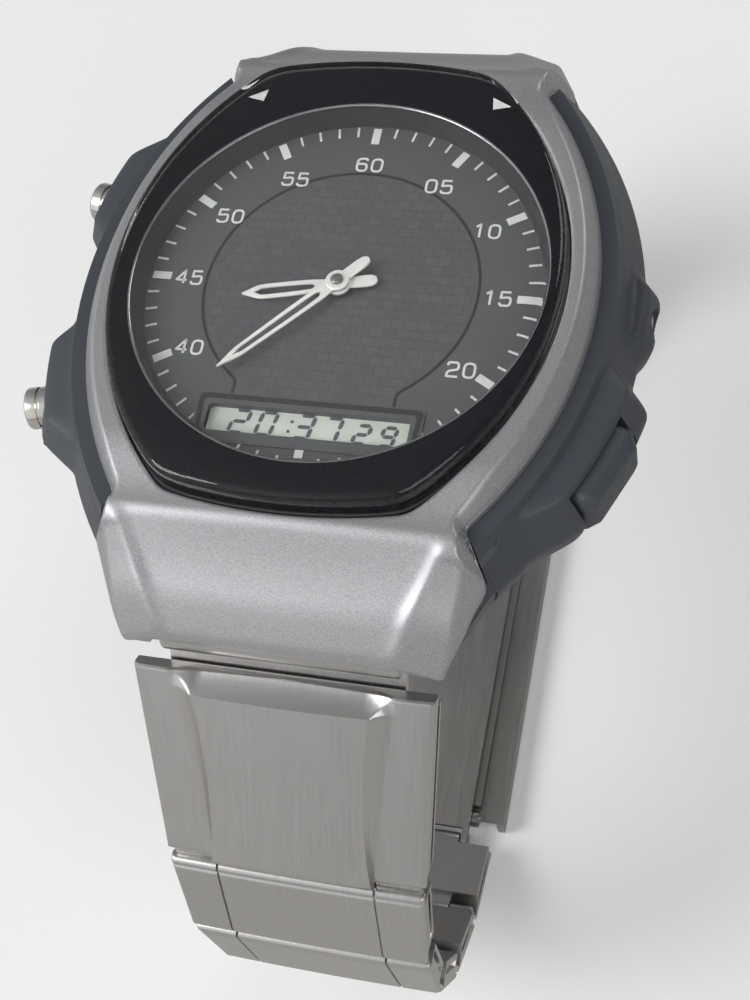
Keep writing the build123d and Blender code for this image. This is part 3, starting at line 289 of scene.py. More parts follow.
def clearGlass():
    # clear to shadow rays, so that the dial under it is lit
    material, tree, shader = newMaterial("clearGlass", (1, 1, 1), 0.0, 0.0, IOR=1.49, Transmission_Weight=1.0)
    path, clear, mix = (addNode(tree, kind) for kind in ("LightPath", "BsdfTransparent", "MixShader"))
    wire(tree, (path, "Is Shadow Ray", mix, "Fac"), (shader, "BSDF", mix, 1), (clear, "BSDF", mix, 2),
         (mix, "Shader", tree.nodes["Material Output"], "Surface"))
    return material


# the inner circle's radius is in metres and is measured with the dial's height
brickwork = {"light": (0.100, 0.102, 0.108, 1), "dark": (0.086, 0.088, 0.093, 1), "joint": (0.077, 0.079, 0.084, 1),
             "outside": (0.092, 0.094, 0.099), "scale": 700, "jointWidth": 0.035, "width": 0.62, "row": 0.5,
             "radius": 0.01135}


def dialFace():
    # a faint brick grid inside the inner circle, plain satin grey outside it
    s = brickwork
    material, tree, shader = newMaterial("dialFace", (0.030, 0.032, 0.036), 0.3, 0.42)
    coords, reach, inside = (addNode(tree, kind) for kind in ("TexCoord", "VectorMath", "Math"))
    brick = addNode(tree, "TexBrick", Color1=s["dark"], Color2=s["light"], Mortar=s["joint"], Scale=s["scale"],
                    Mortar_Size=s["jointWidth"], Brick_Width=s["width"], Row_Height=s["row"])
    reach.operation, inside.operation = "LENGTH", "LESS_THAN"
    inside.inputs[1].default_value = s["radius"]
    plain = addMix(tree, A=s["outside"])
    wire(tree, (coords, "Object", brick, "Vector"), (coords, "Object", reach, 0), (reach, "Value", inside, 0),
         (inside, "Value", plain, "Factor"), (brick, "Color", plain, "B"), (plain, "Result", shader, "Base Color"))
    return material


silver = grained("blastedSilver", (0.43, 0.43, 0.445), 0.75, 0.42, 11000, (0.36, 0.50),
                 [(0.35, 0.35, 0.365), (0.49, 0.49, 0.505)], (0.22, 0.012))
resin = grained("caseResin", (0.050, 0.057, 0.069), 0.0, 0.48, 5000, (0.42, 0.56), bump=(0.12, 0.015), detail=4)
satinSteel = mottled("satinSteel", (0.52, 0.51, 0.50), 1.0, 0.32, 9000, 0.03, 0.03, 0.004, (1, 0.03, 0.03),
                     (0.28, 0.35))
barSteel = plainSteel("barSteel", (0.5, 0.49, 0.47), 0.3)
polished = plainSteel("polishedSteel", (0.62, 0.60, 0.57), 0.14)
glassMaterial = clearGlass()
maskInk = printAndShadeInk("maskInk", (0.007, 0.009, 0.013), 0.3)
ringInk = printAndShadeInk("ringInk", (0.02, 0.021, 0.024), 0.4)
whiteInk = printAndShadeInk("whiteInk", (0.62, 0.63, 0.63), 0.45)
# the frame's colour is painted shade: the recess round the display, drawn darker than the dial
paintedFrameShade = printAndShadeInk("paintedFrameShade", (0.016, 0.017, 0.019), 0.45)
# a thin dark line of painted shade at the dial's step along the circle round the display
paintedStepShade = printAndShadeInk("paintedStepShade", (0.014, 0.015, 0.017), 0.4)
rimInk = plainSteel("rimMetal", (0.42, 0.42, 0.43), 0.16)
dialMaterial = dialFace()
handPaint = mottled("handPaint", (0.78, 0.77, 0.74), 0.3, 0.35, 400, 0.03, 0.008)
hubPaint = mottled("hubPaint", (0.25, 0.25, 0.25), 0.8, 0.3)
displayFilm = mottled("displayFilm", (0.56, 0.60, 0.54), 0.0, 0.35, 700, 0.04, 0.02)
segmentInk = printAndShadeInk("segmentInk", (0.085, 0.10, 0.11), 0.35)
gasketRubber = mottled("gasketRubber", (0.02, 0.02, 0.022), 0.0, 0.6, 1500, 0.15, 0.1)
paleResin = mottled("paleResin", (0.55, 0.53, 0.48), 0.0, 0.5, 1100, 0.05, 0.06)
boardGreen = mottled("boardGreen", (0.02, 0.10, 0.05), 0.0, 0.3, 600, 0.2, 0.05)
copperWire = mottled("copperWire", (0.45, 0.16, 0.05), 0.9, 0.35, 2500, 0.15, 0.15)
brassWheel = plainSteel("brassWheel", (0.60, 0.42, 0.17), 0.28)
print("materials made")


# the silver cover: a ring round the glass with a sloping cover over each pair of lugs

cover = {"sideX": 16.95, "notchX": 11.3, "notchY": 16.5, "lugX": 12.7, "lugY": 18.75, "tipX": 10.5, "tipY": 24.0,
         "topZ": 9.1, "shoulderZ": 7.6, "wallZ": 6.3, "roofY": 17.2, "kneeY": 22.3, "kneeZ": 5.2, "endZ": 3.1,
         "lugDrop": 2.3, "tipDrop": 2.4, "wallDrop": 2.0, "mouthX": 8.6, "hollow": 0.32, "crown": 0.12,
         "foldX": 7.6, "foldRise": 0.28, "foldWidth": 0.55, "facetFall": 0.55, "sink": 0.55, "sinkY": 12.5,
         "sinkRun": 4.5, "kneeRound": 0.7, "lugSlope": 2.0, "sideSlope": 1.6, "sideRound": 0.35, "edge": 0.35,
         "innerEdge": 0.22, "underZ": 8.0, "shelfZ": 6.0, "rows": 64, "count": 1200,
         "glassAnchors": [(14.95, 0), (10.6, 13.2), (8.3, 15.9), (6.7, 16.6), (0, 17.0)]}


def coverOutline(s):
    # two bulged sides between the notches, and straight runs round each pair of lugs
    right = arcPoints((s["notchX"], -s["notchY"]), (s["sideX"], 0), (s["notchX"], s["notchY"]), 500)
    corners = np.array([(s["notchX"], s["notchY"]), (s["lugX"], s["lugY"]), (s["tipX"], s["tipY"]),
                        (-s["tipX"], s["tipY"]), (-s["lugX"], s["lugY"]), (-s["notchX"], s["notchY"])])
    half = np.vstack([right, corners])
    return softened(along(np.vstack([half, -half]), s["count"]), 2)


def coverEdges(s, x, y):
    # height where the top meets the side wall, and where that wall ends, along the outline
    a, b = np.abs(x), np.abs(y)
    out = np.clip((b - s["notchY"]) / (s["lugY"] - s["notchY"]), 0, 1)
    down = np.clip((b - s["lugY"]) / (s["tipY"] - s["lugY"]), 0, 1)
    top = s["shoulderZ"] - s["lugDrop"] * smoothStep(out) - s["tipDrop"] * down
    low = s["wallZ"] - s["wallDrop"] * out - s["tipDrop"] * down
    middle = smoothStep((s["mouthX"] - a) / 0.5) * (b > s["tipY"] - 0.4)
    return top * (1 - middle) + middle * (s["endZ"] - 0.1), low * (1 - middle) + middle * (s["endZ"] - 0.55)


def coverHeight(s, x, y, d, edgeZ):
    # lowest of the hollowed roof with its knee, the facet past the fold, the sunk top and the side's slope
    a, b = np.abs(x), np.abs(y)
    share = (b - s["roofY"]) / (s["kneeY"] - s["roofY"])
    hollow = s["hollow"] * np.sin(np.pi * np.clip(share, 0, 1))
    crown = s["crown"] * (1 - (a / s["foldX"]) ** 2) * smoothStep((b - 17) / 3)
    roof = s["topZ"] - share * (s["topZ"] - s["kneeZ"]) - hollow - crown
    fall = (s["kneeZ"] - s["endZ"]) / (s["tipY"] - s["kneeY"])
    slope = smoothMin(roof, s["kneeZ"] - (b - s["kneeY"]) * fall, s["kneeRound"])
    # signed distance past the fold line that runs from the notch to the lug's foot
    dx, dy = s["notchX"] - s["foldX"], s["tipY"] - s["notchY"]
    q = ((a - s["notchX"]) * dy + (b - s["notchY"]) * dx) / math.hypot(dx, dy)
    reach = smoothStep((b - s["roofY"] + 0.4) / 2.0)
    ridge = s["foldRise"] * np.exp(-(q / s["foldWidth"]) ** 2) * reach
    facet = slope + s["foldRise"] * reach - s["facetFall"] * q * reach + (1 - reach) * 9
    z = smoothMin(slope + ridge, facet, 0.25)
    z = smoothMin(z, s["topZ"] - s["sink"] * smoothStep((b - s["sinkY"]) / s["sinkRun"]), 0.5)
    wall = edgeZ + d * np.where(b > s["notchY"] + 0.6, s["lugSlope"], s["sideSlope"])
    return smoothMin(z, wall, s["sideRound"]) - edgeDrop(d, s["edge"])


def distanceTo(x, y, outline):
    # distance of each point to an outline, and the number of its nearest outline point
    flat = np.stack([x.ravel(), y.ravel()], axis=1)
    best = np.full(len(flat), 1e9)
    nearest = np.zeros(len(flat), dtype=int)
    for part in np.array_split(np.arange(len(outline)), 12):
        gap = ((flat[:, None, :] - outline[part][None]) ** 2).sum(2)
        closer = gap.min(1) < best
        nearest[closer] = part[gap.argmin(1)][closer]
        best = np.minimum(best, gap.min(1))
    return np.sqrt(best).reshape(x.shape), nearest.reshape(x.shape)


def makeCover():
    # grid between the two outlines, with the side wall, an inner shelf and the rim under the glass closing it
    s = cover
    outer = coverOutline(s)
    inner = matchOutlines(outer, glassOutline(-0.2, s["count"]))
    v = (0.5 - 0.5 * np.cos(np.pi * np.linspace(0, 1, s["rows"])))[:, None, None]  # closer together at both ends
    flat = inner * (1 - v) + outer * v
    x, y, v = flat[..., 0], flat[..., 1], v[..., 0]
    d, nearest = distanceTo(x, y, outer)
    dIn, _ = distanceTo(x, y, inner)
    edgeZ, lowZ = coverEdges(s, outer[:, 0], outer[:, 1])
    z = coverHeight(s, x, y, d * (v < 1), edgeZ[nearest]) - edgeDrop(dIn * (v > 0), s["innerEdge"])
    wall = [np.column_stack([outer, z[-1] * (1 - t) + np.minimum(lowZ, z[-1] - 0.1) * t]) for t in (0.1, 0.5, 0.9, 1)]
    under = atHeight(inner, s["underZ"])
    shelf = wall[-1] * 0.5 + under * 0.5
    shelf[:, 2] = np.minimum(shelf[:, 2], s["shelfZ"])
    body = np.concatenate([np.dstack([flat, z]), wall, shelf[None], under[None]])
    closedPiece("silver_cover", [body], silver, "case", ["bezel"], wrapRows=True)


def glassOutline(inset, count=900):
    # tonneau with bulged sides and ends, counter-clockwise from the lower right corner, moved in by the inset
    s = crystal
    x, y = s["cornerX"], s["cornerY"]
    half = np.vstack([arcPoints((x, -y), (s["midX"], 0), (x, y), 400),
                      arcPoints((x, y), (0, s["endY"]), (-x, y), 300)])
    return offsetOutline(softened(along(np.vstack([half, -half]), count), 5), inset)


def matchOutlines(outer, inner):
    # the inner outline resampled so that notches, lug corners and lug tips meet chosen points of the glass
    s = cover
    marks = [(s["sideX"], 0), (s["notchX"], s["notchY"]), (s["lugX"], s["lugY"]), (s["tipX"], s["tipY"]),
             (0, s["tipY"])]
    quarter = [(np.array(a, float), np.array(b, float)) for a, b in zip(marks, s["glassAnchors"])]
    flip = lambda pairs, sign: [(a * sign, b * sign) for a, b in pairs]
    pairs = quarter + flip(quarter[-2::-1], (-1, 1)) + flip(quarter[1:], (-1, -1)) + flip(quarter[-2:0:-1], (1, -1))
    number = lambda outline, q: int(((outline - q) ** 2).sum(1).argmin())
    a = np.unwrap([number(outer, q) for q, _ in pairs], period=len(outer))
    b = np.unwrap([number(inner, q) for _, q in pairs], period=len(inner))
    a, b = np.append(a, a[0] + len(outer)), np.append(b, b[0] + len(inner))
    want = np.interp((np.arange(len(outer)) - a[0]) % len(outer) + a[0], a, b)
    spots = np.arange(len(inner) * 3) - len(inner)
    return np.stack([np.interp(want, spots, np.tile(inner[:, k], 3)) for k in (0, 1)], axis=1)


crystal = {"midX": 14.95, "cornerX": 7.8, "cornerY": 16.1, "endY": 16.95, "lowZ": 8.3, "topZ": 10.35, "edge": 0.5,
           "fit": 0.05, "sealZ": 8.45, "sealFoot": 7.9, "sealOut": 0.18, "sealIn": 0.04}


def makeCrystal():
    # closed loft of the opening's outline: upright wall, a small rounded edge, and a flat top
    s = crystal
    base = glassOutline(s["fit"], 600)
    turn = np.linspace(0, np.pi / 2, 6)
    insets = [0, 0, *quarterIn(s["edge"], 6)]
    heights = [s["lowZ"], s["topZ"] - s["edge"] * 2, *(s["topZ"] - s["edge"] + s["edge"] * np.sin(turn))]
    rings = [atHeight(offsetOutline(base, i), h) for i, h in zip(insets, heights)]
    low, high = ([ring * (share, share, 1) for share in (0, 0.5, 0.9)] for ring in (rings[0], rings[-1]))
    closedPiece("crystal_glass", [np.array([*low, *rings, *high[::-1]])], glassMaterial, "case",
                ["crystal"])
    # rubber seal in the gap between glass and cover, with cut upper corners
    out, top = s["sealOut"], s["sealZ"]
    section = [(-out, s["sealFoot"]), (-out, top - 0.06), (0.06 - out, top), (0, top), (s["sealIn"], top - 0.06),
               (s["sealIn"], s["sealFoot"])]
    rings = np.array([atHeight(offsetOutline(base, i), h) for i, h in section])
    closedPiece("glass_seal", [rings], gasketRubber, "case", ["crystal_gasket"], wrapRows=True)


makeCover()
makeCrystal()
print("cover and glass made")


# flat strips and prints of the dial, with painted shade round the display and along the circle's step

def ribbon(path, width, z, closed=False):
    # strip of constant width: each point of the path moved half the width to both sides, square to the path
    p = np.asarray(path, float)
    ahead = np.roll(p, -1, axis=0) - np.roll(p, 1, axis=0) if closed else np.gradient(p, axis=0)
    side = np.stack([ahead[:, 1], -ahead[:, 0]], axis=1)
    side *= width / 2 / np.linalg.norm(side, axis=1)[:, None]
    strip = atHeight(np.stack([p + side, p - side], axis=1), z)
    return np.concatenate([strip, strip[:1]]) if closed else strip


def roundedPath(corners, closed=False, steps=8):
    # straight runs joined by quadratic curves; every corner is (x, y, how far the curve reaches)
    c = np.asarray(corners, float)
    t = np.linspace(0, 1, steps)[:, None]
    path = []
    for k in range(len(c)):
        if not closed and k in (0, len(c) - 1):
            path.append(c[k:k + 1, :2])
            continue
        here, before, after = c[k, :2], c[k - 1, :2], c[(k + 1) % len(c), :2]
        reach = max(c[k, 2], 1e-3)
        start = here + (before - here) * reach / np.linalg.norm(before - here)
        end = here + (after - here) * reach / np.linalg.norm(after - here)
        path.append(start * (1 - t) ** 2 + here * 2 * t * (1 - t) + end * t ** 2)
    return np.vstack(path)


def turned(points, angle):
    # points turned clockwise by an angle in degrees, as a clock hand turns
    a = math.radians(angle)
    x, y = points[..., 0], points[..., 1]
    out = np.array(points, float)
    out[..., 0] = x * math.cos(a) + y * math.sin(a)
    out[..., 1] = -x * math.sin(a) + y * math.cos(a)
    return out


dial = {"topZ": 6.6, "markWidth": 0.56, "markFrom": 11.8, "markTo": 13.1, "tickWidth": 0.15, "tickFrom": 12.42,
        "tickTo": 13.2, "sixFrom": 11.85, "sixTo": 12.75, "numeralHeight": 1.18, "numeralWidth": 0.84,
        "numeralGap": 0.22, "stroke": 0.155, "circleRadius": 9.25, "circleFoot": -52.5, "line": 0.2,
        "frameHalf": 6.65, "frameTop": -9.42, "frameLow": -11.38, "frameBand": 0.72, "windowReach": 13.26,
        "lift": 0.03, "frameLift": 0.12}

numerals = {"60": (0.0, 10.0), "05": (5.13, 8.5), "10": (8.95, 5.12), "15": (10.5, -0.02), "20": (9.1, -5.5),
            "40": (-9.1, -5.4), "45": (-10.5, -0.02), "50": (-8.85, 5.13), "55": (-4.96, 8.5)}

# strokes in a unit box, as rounded paths; the first value says whether the stroke is closed
digitStrokes = {
    "0": [(True, [(0, 0, 0.42), (1, 0, 0.42), (1, 1, 0.42), (0, 1, 0.42)])],
    "1": [(False, [(0.22, 0.80, 0), (0.62, 1, 0.01), (0.62, 0, 0)])],
    "2": [(False, [(0, 0.78, 0), (0, 1, 0.2), (1, 1, 0.3), (1, 0.52, 0.2), (0, 0.36, 0.3), (0, 0, 0.01),
                   (1.03, 0, 0)])],
    "4": [(False, [(0.76, 0, 0), (0.76, 1, 0.01), (0, 0.26, 0.01), (1.05, 0.26, 0)])],
    "5": [(False, [(0.95, 1, 0), (0.08, 1, 0.01), (0.04, 0.56, 0.01), (1, 0.64, 0.28), (1, 0, 0.34), (0, 0, 0.24),
                   (0, 0.2, 0)])],
    "6": [(False, [(0.97, 0.84, 0), (0.97, 1, 0.16), (0, 1, 0.42), (0, 0, 0.42), (1, 0, 0.32), (1, 0.57, 0.28),
                   (0.05, 0.57, 0)])]}


def numeralGrids(text, centre):
    # the digits side by side and centred, each stroke drawn as a strip inside the digit's box
    d = dial
    width, height = d["numeralWidth"], d["numeralHeight"]
    total = len(text) * width + (len(text) - 1) * d["numeralGap"]
    grids = []
    for k, digit in enumerate(text):
        left = centre[0] - total / 2 + k * (width + d["numeralGap"])
        inner = np.array([width - d["stroke"], height - d["stroke"], 0.8])
        for closed, corners in digitStrokes[digit]:
            path = roundedPath(np.array(corners) * inner, closed)
            path = path + (left + d["stroke"] / 2, centre[1] - height / 2 + d["stroke"] / 2)
            grids.append(ribbon(path, d["stroke"], d["topZ"] + d["lift"], closed))
    return grids


def makeMarks():
    # sixty radial bars: long ones at the hours, fine ones at the minutes; short or none where the display stands
    d = dial
    grids = []
    for minute in range(60):
        kind = "tick" if minute % 5 else "mark"
        start, end, half = d[kind + "From"], d[kind + "To"], d[kind + "Width"] / 2
        if minute == 30:
            start, end = d["sixFrom"], d["sixTo"]
        elif 24 < minute < 36:
            if minute in (25, 26, 34, 35):
                continue
            start = d["sixTo"]
        bar = np.array([[(half, start), (-half, start)], [(half, end), (-half, end)]])
        grids.append(atHeight(turned(bar, minute * 6.0), d["topZ"] + d["lift"] * 1.4))
    printAndShadeLayer("dial_marks", grids, whiteInk, thickness=0.06)
    grids = [g for text, centre in numerals.items() for g in numeralGrids(text, centre)]
    printAndShadeLayer("dial_numerals", grids, whiteInk)


def keyholePath():
    # circle round the centre that runs over small curves into the corners of the display frame
    d = dial
    r, x = d["circleRadius"], d["frameHalf"] + d["frameBand"]
    top = d["frameTop"] + d["frameBand"]
    foot = math.radians(d["circleFoot"])
    turn = np.linspace(foot, math.pi - foot, 140)
    arc = np.stack([r * np.cos(turn), r * np.sin(turn)], axis=1)
    bend = arc[0] + np.array([-0.28, -0.34])
    right = roundedPath([(x, -10.9, 0), (x, top, 0.35), (bend[0], top, 0.22), (*bend, 0.1), (*arc[0], 0)])
    left = right[::-1] * (-1, 1)
    return np.vstack([right[:-1], arc, left[1:]])


def makeFrame():
    # band round the display window, cut off by the flange at its lower corners, dark with painted shade of its recess,
    # with a thin dark line of painted shade along the step outside it
    d = dial
    x, low, top, band = d["frameHalf"], d["frameLow"], d["frameTop"], d["frameBand"]
    wide, over, foot = x + band, top + band, low - 0.45
    inner = roundedPath([(x, low, 0.3), (x, top, 0.3), (-x, top, 0.3), (-x, low, 0.3)], True, 10)
    outer = roundedPath([(wide, foot, 0.4), (wide, over, 0.45), (-wide, over, 0.45), (-wide, foot, 0.4)], True, 10)
    outer *= np.minimum(1, d["windowReach"] / np.hypot(*outer.T))[:, None]
    z = d["topZ"] + d["frameLift"]
    t = np.linspace(0, 1, 5)[:, None, None]
    height = z + 0.012 - 0.08 * np.repeat(t ** 3, len(inner), axis=1)
    face = np.concatenate([outer * (1 - t) + inner * t, height], axis=2)
    rings = np.concatenate([face, atHeight(inner[None], z - 0.5)])
    # the band's dark colour is painted shade of the recess round the display
    finishPiece(addGrids("display_frame", [rings[:, ::-1]], wrapCols=True), paintedFrameShade, "case")
    # the thin dark line along the step is painted shade
    line = ribbon(keyholePath(), d["line"], d["topZ"] + d["lift"] * 0.5)
    printAndShadeLayer("dial_circle_step_shade", [line], paintedStepShade)


# the display: slanted seven-segment figures, as the cells (x, height share, figure)

display = {"z": 6.23, "low": -11.28, "height": 1.62, "width": 0.98, "slant": 0.18, "stroke": 0.26, "gap": 0.05,
           "foot": 0.14, "smallWidth": 0.86, "tipShare": 0.08,
           "cells": [(-5.15, 1.0, "2"), (-3.35, 1.0, "0"), (-0.85, 1.0, "3"), (0.95, 1.0, "7"),
                     (3.05, 0.8, "2"), (4.75, 0.8, "9")], "colonX": -1.27, "colonY": (0.45, 1.15), "dot": 0.2}

segmentsOf = {"0": "abcdef", "2": "abged", "3": "abgcd", "7": "abc", "9": "abcdfg"}


def segmentGrids(figure, left, share):
    # each segment is a six-sided bar; its ends are mitred, and a thin gap parts it from the next
    s = display
    w = s["width"] * (s["smallWidth"] if share < 1 else 1)
    h, k, gap = s["height"] * share, s["stroke"] / 2, s["gap"]
    ends = {"a": ((0, h), (w, h)), "b": ((w, h), (w, h / 2)), "c": ((w, h / 2), (w, 0)), "d": ((0, 0), (w, 0)),
            "e": ((0, h / 2), (0, 0)), "f": ((0, h), (0, h / 2)), "g": ((0, h / 2), (w, h / 2))}
    grids = []
    for name in segmentsOf[figure]:
        a, b = (np.array(q, float) for q in ends[name])
        length = np.linalg.norm(b - a)
        run = (b - a) / length
        side = np.array([run[1], -run[0]]) * k * np.array([s["tipShare"], 1, 1, s["tipShare"]])[:, None]
        middle = a + run * np.array([gap, gap + k, length - gap - k, length - gap])[:, None]
        bar = np.stack([middle + side, middle - side], axis=1)
        bar[..., 0] += bar[..., 1] * s["slant"] + left
        bar[..., 1] += s["low"] + s["foot"]
        grids.append(atHeight(bar, s["z"]))
    return grids


def makeDisplay():
    # the figures from left to right, and the colon's two square dots on the same slant
    s = display
    grids = [g for left, share, figure in s["cells"] for g in segmentGrids(figure, left, share)]
    for y in s["colonY"]:
        dot = np.array([[(0.5, 0), (-0.5, 0)], [(0.5, 1), (-0.5, 1)]]) * s["dot"]
        grids.append(atHeight(dot + (s["colonX"] + y * s["slant"], s["low"] + y), s["z"]))
    printAndShadeLayer("display_figures", grids, segmentInk, thickness=0.015)


# the hands: two bevelled strips that part round the slot, a round hub and a short rounded tail

handShapes = {
    "hour_hand": {"body": "hour", "angle": 258.55, "z": 6.95, "thick": 0.16, "hub": 0.86,
                  "stations": [-2.6, -2.52, -2.3, -1.9, -1.2, -0.4, 0.4, 1.2, 1.5, 1.75, 2.4, 3.5, 4.6, 5.2, 5.45,
                               5.7, 6.1, 6.5],
                  "outer": [0.02, 0.26, 0.40, 0.45, 0.42, 0.38, 0.40, 0.46, 0.50, 0.52, 0.54, 0.56, 0.56, 0.53,
                            0.48, 0.38, 0.21, 0.02],
                  "slot": [0, 0, 0, 0, 0, 0, 0, 0, 0.0, 0.20, 0.24, 0.27, 0.28, 0.26, 0.12, 0, 0, 0]},
    "minute_hand": {"body": "minute", "angle": 222.6, "z": 7.3, "thick": 0.16, "hub": 0.78,
                    "stations": [-2.6, -2.52, -2.3, -1.9, -1.2, -0.4, 0.4, 1.1, 1.35, 1.6, 2.6, 4.5, 6.4, 7.8, 8.15,
                                 8.5, 9.1, 9.7],
                    "outer": [0.02, 0.24, 0.36, 0.41, 0.40, 0.38, 0.40, 0.46, 0.49, 0.50, 0.49, 0.47, 0.43, 0.39,
                              0.36, 0.30, 0.16, 0.02],
                    "slot": [0, 0, 0, 0, 0, 0, 0, 0, 0.0, 0.20, 0.23, 0.22, 0.19, 0.17, 0.07, 0, 0, 0]}}


def handStrip(s, side):
    # loop of section points between the slot and the outer edge, carried along the hand; the tip stays open
    t, outer, slot = (np.array(s[k]) for k in ("stations", "outer", "slot"))
    inner = np.minimum(slot, outer - 0.01)
    bevel = np.minimum(0.05, (outer - inner) / 3)
    soft = np.where(slot > 0.01, bevel, 0)
    x = np.stack([inner, inner, inner + soft, outer - bevel, outer, outer], axis=1)
    z = np.repeat([[0.0, s["thick"] - 0.05, s["thick"], s["thick"], s["thick"] - 0.05, 0.0]], len(t), axis=0)
    z[:, 1] += np.where(slot > 0.01, 0, 0.05)
    loop = np.stack([x * side, np.repeat(t[:, None], 6, axis=1), z + s["z"]], axis=2)
    return np.concatenate([middleRing(loop[0]), loop])


def turnedProfile(profile, count=48):
    # profile (r, z) revolved about Z: x = r cos a, y = r sin a
    a = np.linspace(0, 2 * np.pi, count, endpoint=False)
    r, z = np.array(profile, float).T
    return np.stack([r[:, None] * np.cos(a), r[:, None] * np.sin(a), np.repeat(z[:, None], count, axis=1)], axis=2)


handCap = [(0, 0), (0.42, 0), (0.42, 0.16), (0.36, 0.22), (0, 0.23)]  # radius, height over the minute hand


def makeHands():
    # both strips and the hub, turned to the angle that each hand shows
    for name, s in handShapes.items():
        low, high = s["z"], s["z"] + s["thick"]
        hub = turnedProfile([(0, low), (s["hub"], low), (s["hub"], high), (s["hub"] - 0.06, high + 0.05),
                             (0.4, high + 0.06), (0, high + 0.06)])
        grids = [turned(g, s["angle"]) for g in (handStrip(s, 1), handStrip(s, -1), hub)]
        closedPiece(name + "_blade", grids, handPaint, s["body"], [name], sharp=25)
    # the loop ends with the minute hand, which carries the cap
    cap = turnedProfile([(r, high + z) for r, z in handCap])
    closedPiece("hand_cap", [cap], hubPaint, "minute")


maskPrint = {"triangle": [[(7.95, 14.75), (8.1, 13.75)], [(9.25, 14.02), (9.25, 14.0)]], "z": 8.305,
             "rim": [(13.98, 8.17), (13.82, 8.12), (13.74, 8.16), (13.72, 8.22), (13.76, 8.27), (13.86, 8.295),
                     (13.98, 8.296)]}


def makeMaskPrint():
    # two plain triangles beside twelve and a fine bright rim round the dial window
    triangle = np.array(maskPrint["triangle"])
    grids = [atHeight(flat, maskPrint["z"]) for flat in (triangle * (-1, 1), triangle[:, ::-1])]
    printAndShadeLayer("mask_triangles", grids, whiteInk, thickness=0.004)
    rim = turnedProfile(maskPrint["rim"], 240)
    closedPiece("window_rim", [rim], rimInk, "case", wrapRows=True)


makeMarks()
makeFrame()
makeDisplay()
makeHands()
makeMaskPrint()
print("dial made")


# the bracelet: closed section loops carried along each link, in the link's own frame
# (x across, y along from the upper pivot, z outwards), then set at its pivot

strand = {"pivotY": -22.85, "pivotZ": 1.75, "slopes": (55, 68, 87, 107, 128, 149), "firstLength": 17.9,
          "pitch": 8.4, "firstHalf": 9.05, "lastHalf": 7.6, "seamX": 5.6, "low": -1.0, "slot": 0.5,
          "tailRound": 0.14}


def strandPlaces():
    # each pivot is the one before it, moved by the link's length down its slope
    s = strand
    y, z, places = s["pivotY"], s["pivotZ"], []
    for k, slope in enumerate(s["slopes"]):
        places.append((y, z, math.radians(slope)))
        length = s["pitch"] if k else s["firstLength"]
        y, z = y - length * math.cos(places[-1][2]), z - length * math.sin(places[-1][2])
    return places


def setLink(grid, place, side):
    # x, y, z of the link's frame to the watch's: y runs down the slope, z square to it; mirrored for twelve
    y0, z0, a = place
    x, y, z = grid[..., 0], grid[..., 1], grid[..., 2]
    worldY = y0 - y * math.cos(a) - z * math.sin(a)
    return np.stack([-x, worldY * (1 if side == "6" else -1), z0 - y * math.sin(a) + z * math.cos(a)], axis=-1)


def sectionLoop(x, top, half, low, slotDepth, rim):
    # the top line from left to right, down the right side with its fold slot, and back along the underside
    edge = top[-1]
    slotLow = max(-strand["slot"], low + 0.06)
    slotTop = max(min(0.0, edge - rim - 0.05), slotLow + 0.01)
    wallX = [half, half, half - slotDepth, half - slotDepth, half, half, half - 0.08]
    wallZ = [edge - 0.02, slotTop, slotTop, slotLow, slotLow, low + 0.08, low]
    right = np.column_stack([wallX, wallZ])
    across = np.column_stack([np.linspace(half * 0.7, -half * 0.7, 5), np.full(5, low)])
    return np.vstack([np.column_stack([x, top]), right, across, right[::-1] * (-1, 1)])


def sweptSections(stations):
    # stations are (y, loop); the first and last loops are closed on their own middles
    rings = np.array([np.column_stack([loop[:, 0], np.full(len(loop), y), loop[:, 1]]) for y, loop in stations])
    return np.concatenate([middleRing(rings[0]), rings, middleRing(rings[-1])])


def crossTube(radius, x0, x1, y=0.0, z=0.0, soft=0.12, count=32):
    # closed tube along x with rounded rims: ring k stands at x(k) with radius r(k)
    a = np.linspace(0, 2 * np.pi, count, endpoint=False)
    xs = np.array([x0, x0, x0 + soft * 0.3, x0 + soft, x1 - soft, x1 - soft * 0.3, x1, x1])
    rs = radius - np.array([radius, soft, soft * 0.3, 0, 0, soft * 0.3, soft, radius])
    return np.stack([np.repeat(xs[:, None], count, 1), y + rs[:, None] * np.cos(a), z + rs[:, None] * np.sin(a)], 2)


def plainBar(x0, x1, y0, y1, z0, z1, soft=0.05):
    # rectangular loop with cut corners, carried from x0 to x1
    y = [y0 + soft, y1 - soft, y1, y1, y1 - soft, y0 + soft, y0, y0]
    z = [z0, z0, z0 + soft, z1 - soft, z1, z1, z1 - soft, z0 + soft]
    middle = np.array([[(y0 + y1) / 2] * 8, [(z0 + z1) / 2] * 8])
    loop = np.array([y, z])
    flat = np.array([middle, loop, loop, middle])
    x = np.repeat([[x0], [x0], [x1], [x1]], 8, axis=1)
    return np.stack([x, flat[:, 0], flat[:, 1]], axis=2)


endLink = {"start": 2.5, "tail": 17.8, "topHalf": 10.15, "lowHalf": 9.2, "strip": 1.0, "plate": 1.9, "crestY": 3.75,
           "crestHalf": 5.9, "waistHalf": 5.3, "endHalf": 5.62, "footHalf": 7.5, "scoop": 1.7, "hollow": 0.75,
           "crown": 0.16, "sideFall": 0.10, "rim": 0.34, "startRound": 0.16, "slotFrom": 3.2, "slotTo": 16.6,
           "bodyFrom": 3.4, "startLow": -0.1, "tailThin": 0.95, "tailLow": 0.62, "barrelRadius": 1.32,
           "barrelHalf": 7.85, "barZ": (-1.0, -0.3), "bevelSteps": 14, "rows": 60}


def quadThrough(y0, a, y1, b, y2, c, y):
    # parabola through three points
    return (a * (y - y1) * (y - y2) / ((y0 - y1) * (y0 - y2)) + b * (y - y0) * (y - y2) / ((y1 - y0) * (y1 - y2))
            + c * (y - y0) * (y - y1) / ((y2 - y0) * (y2 - y1)))


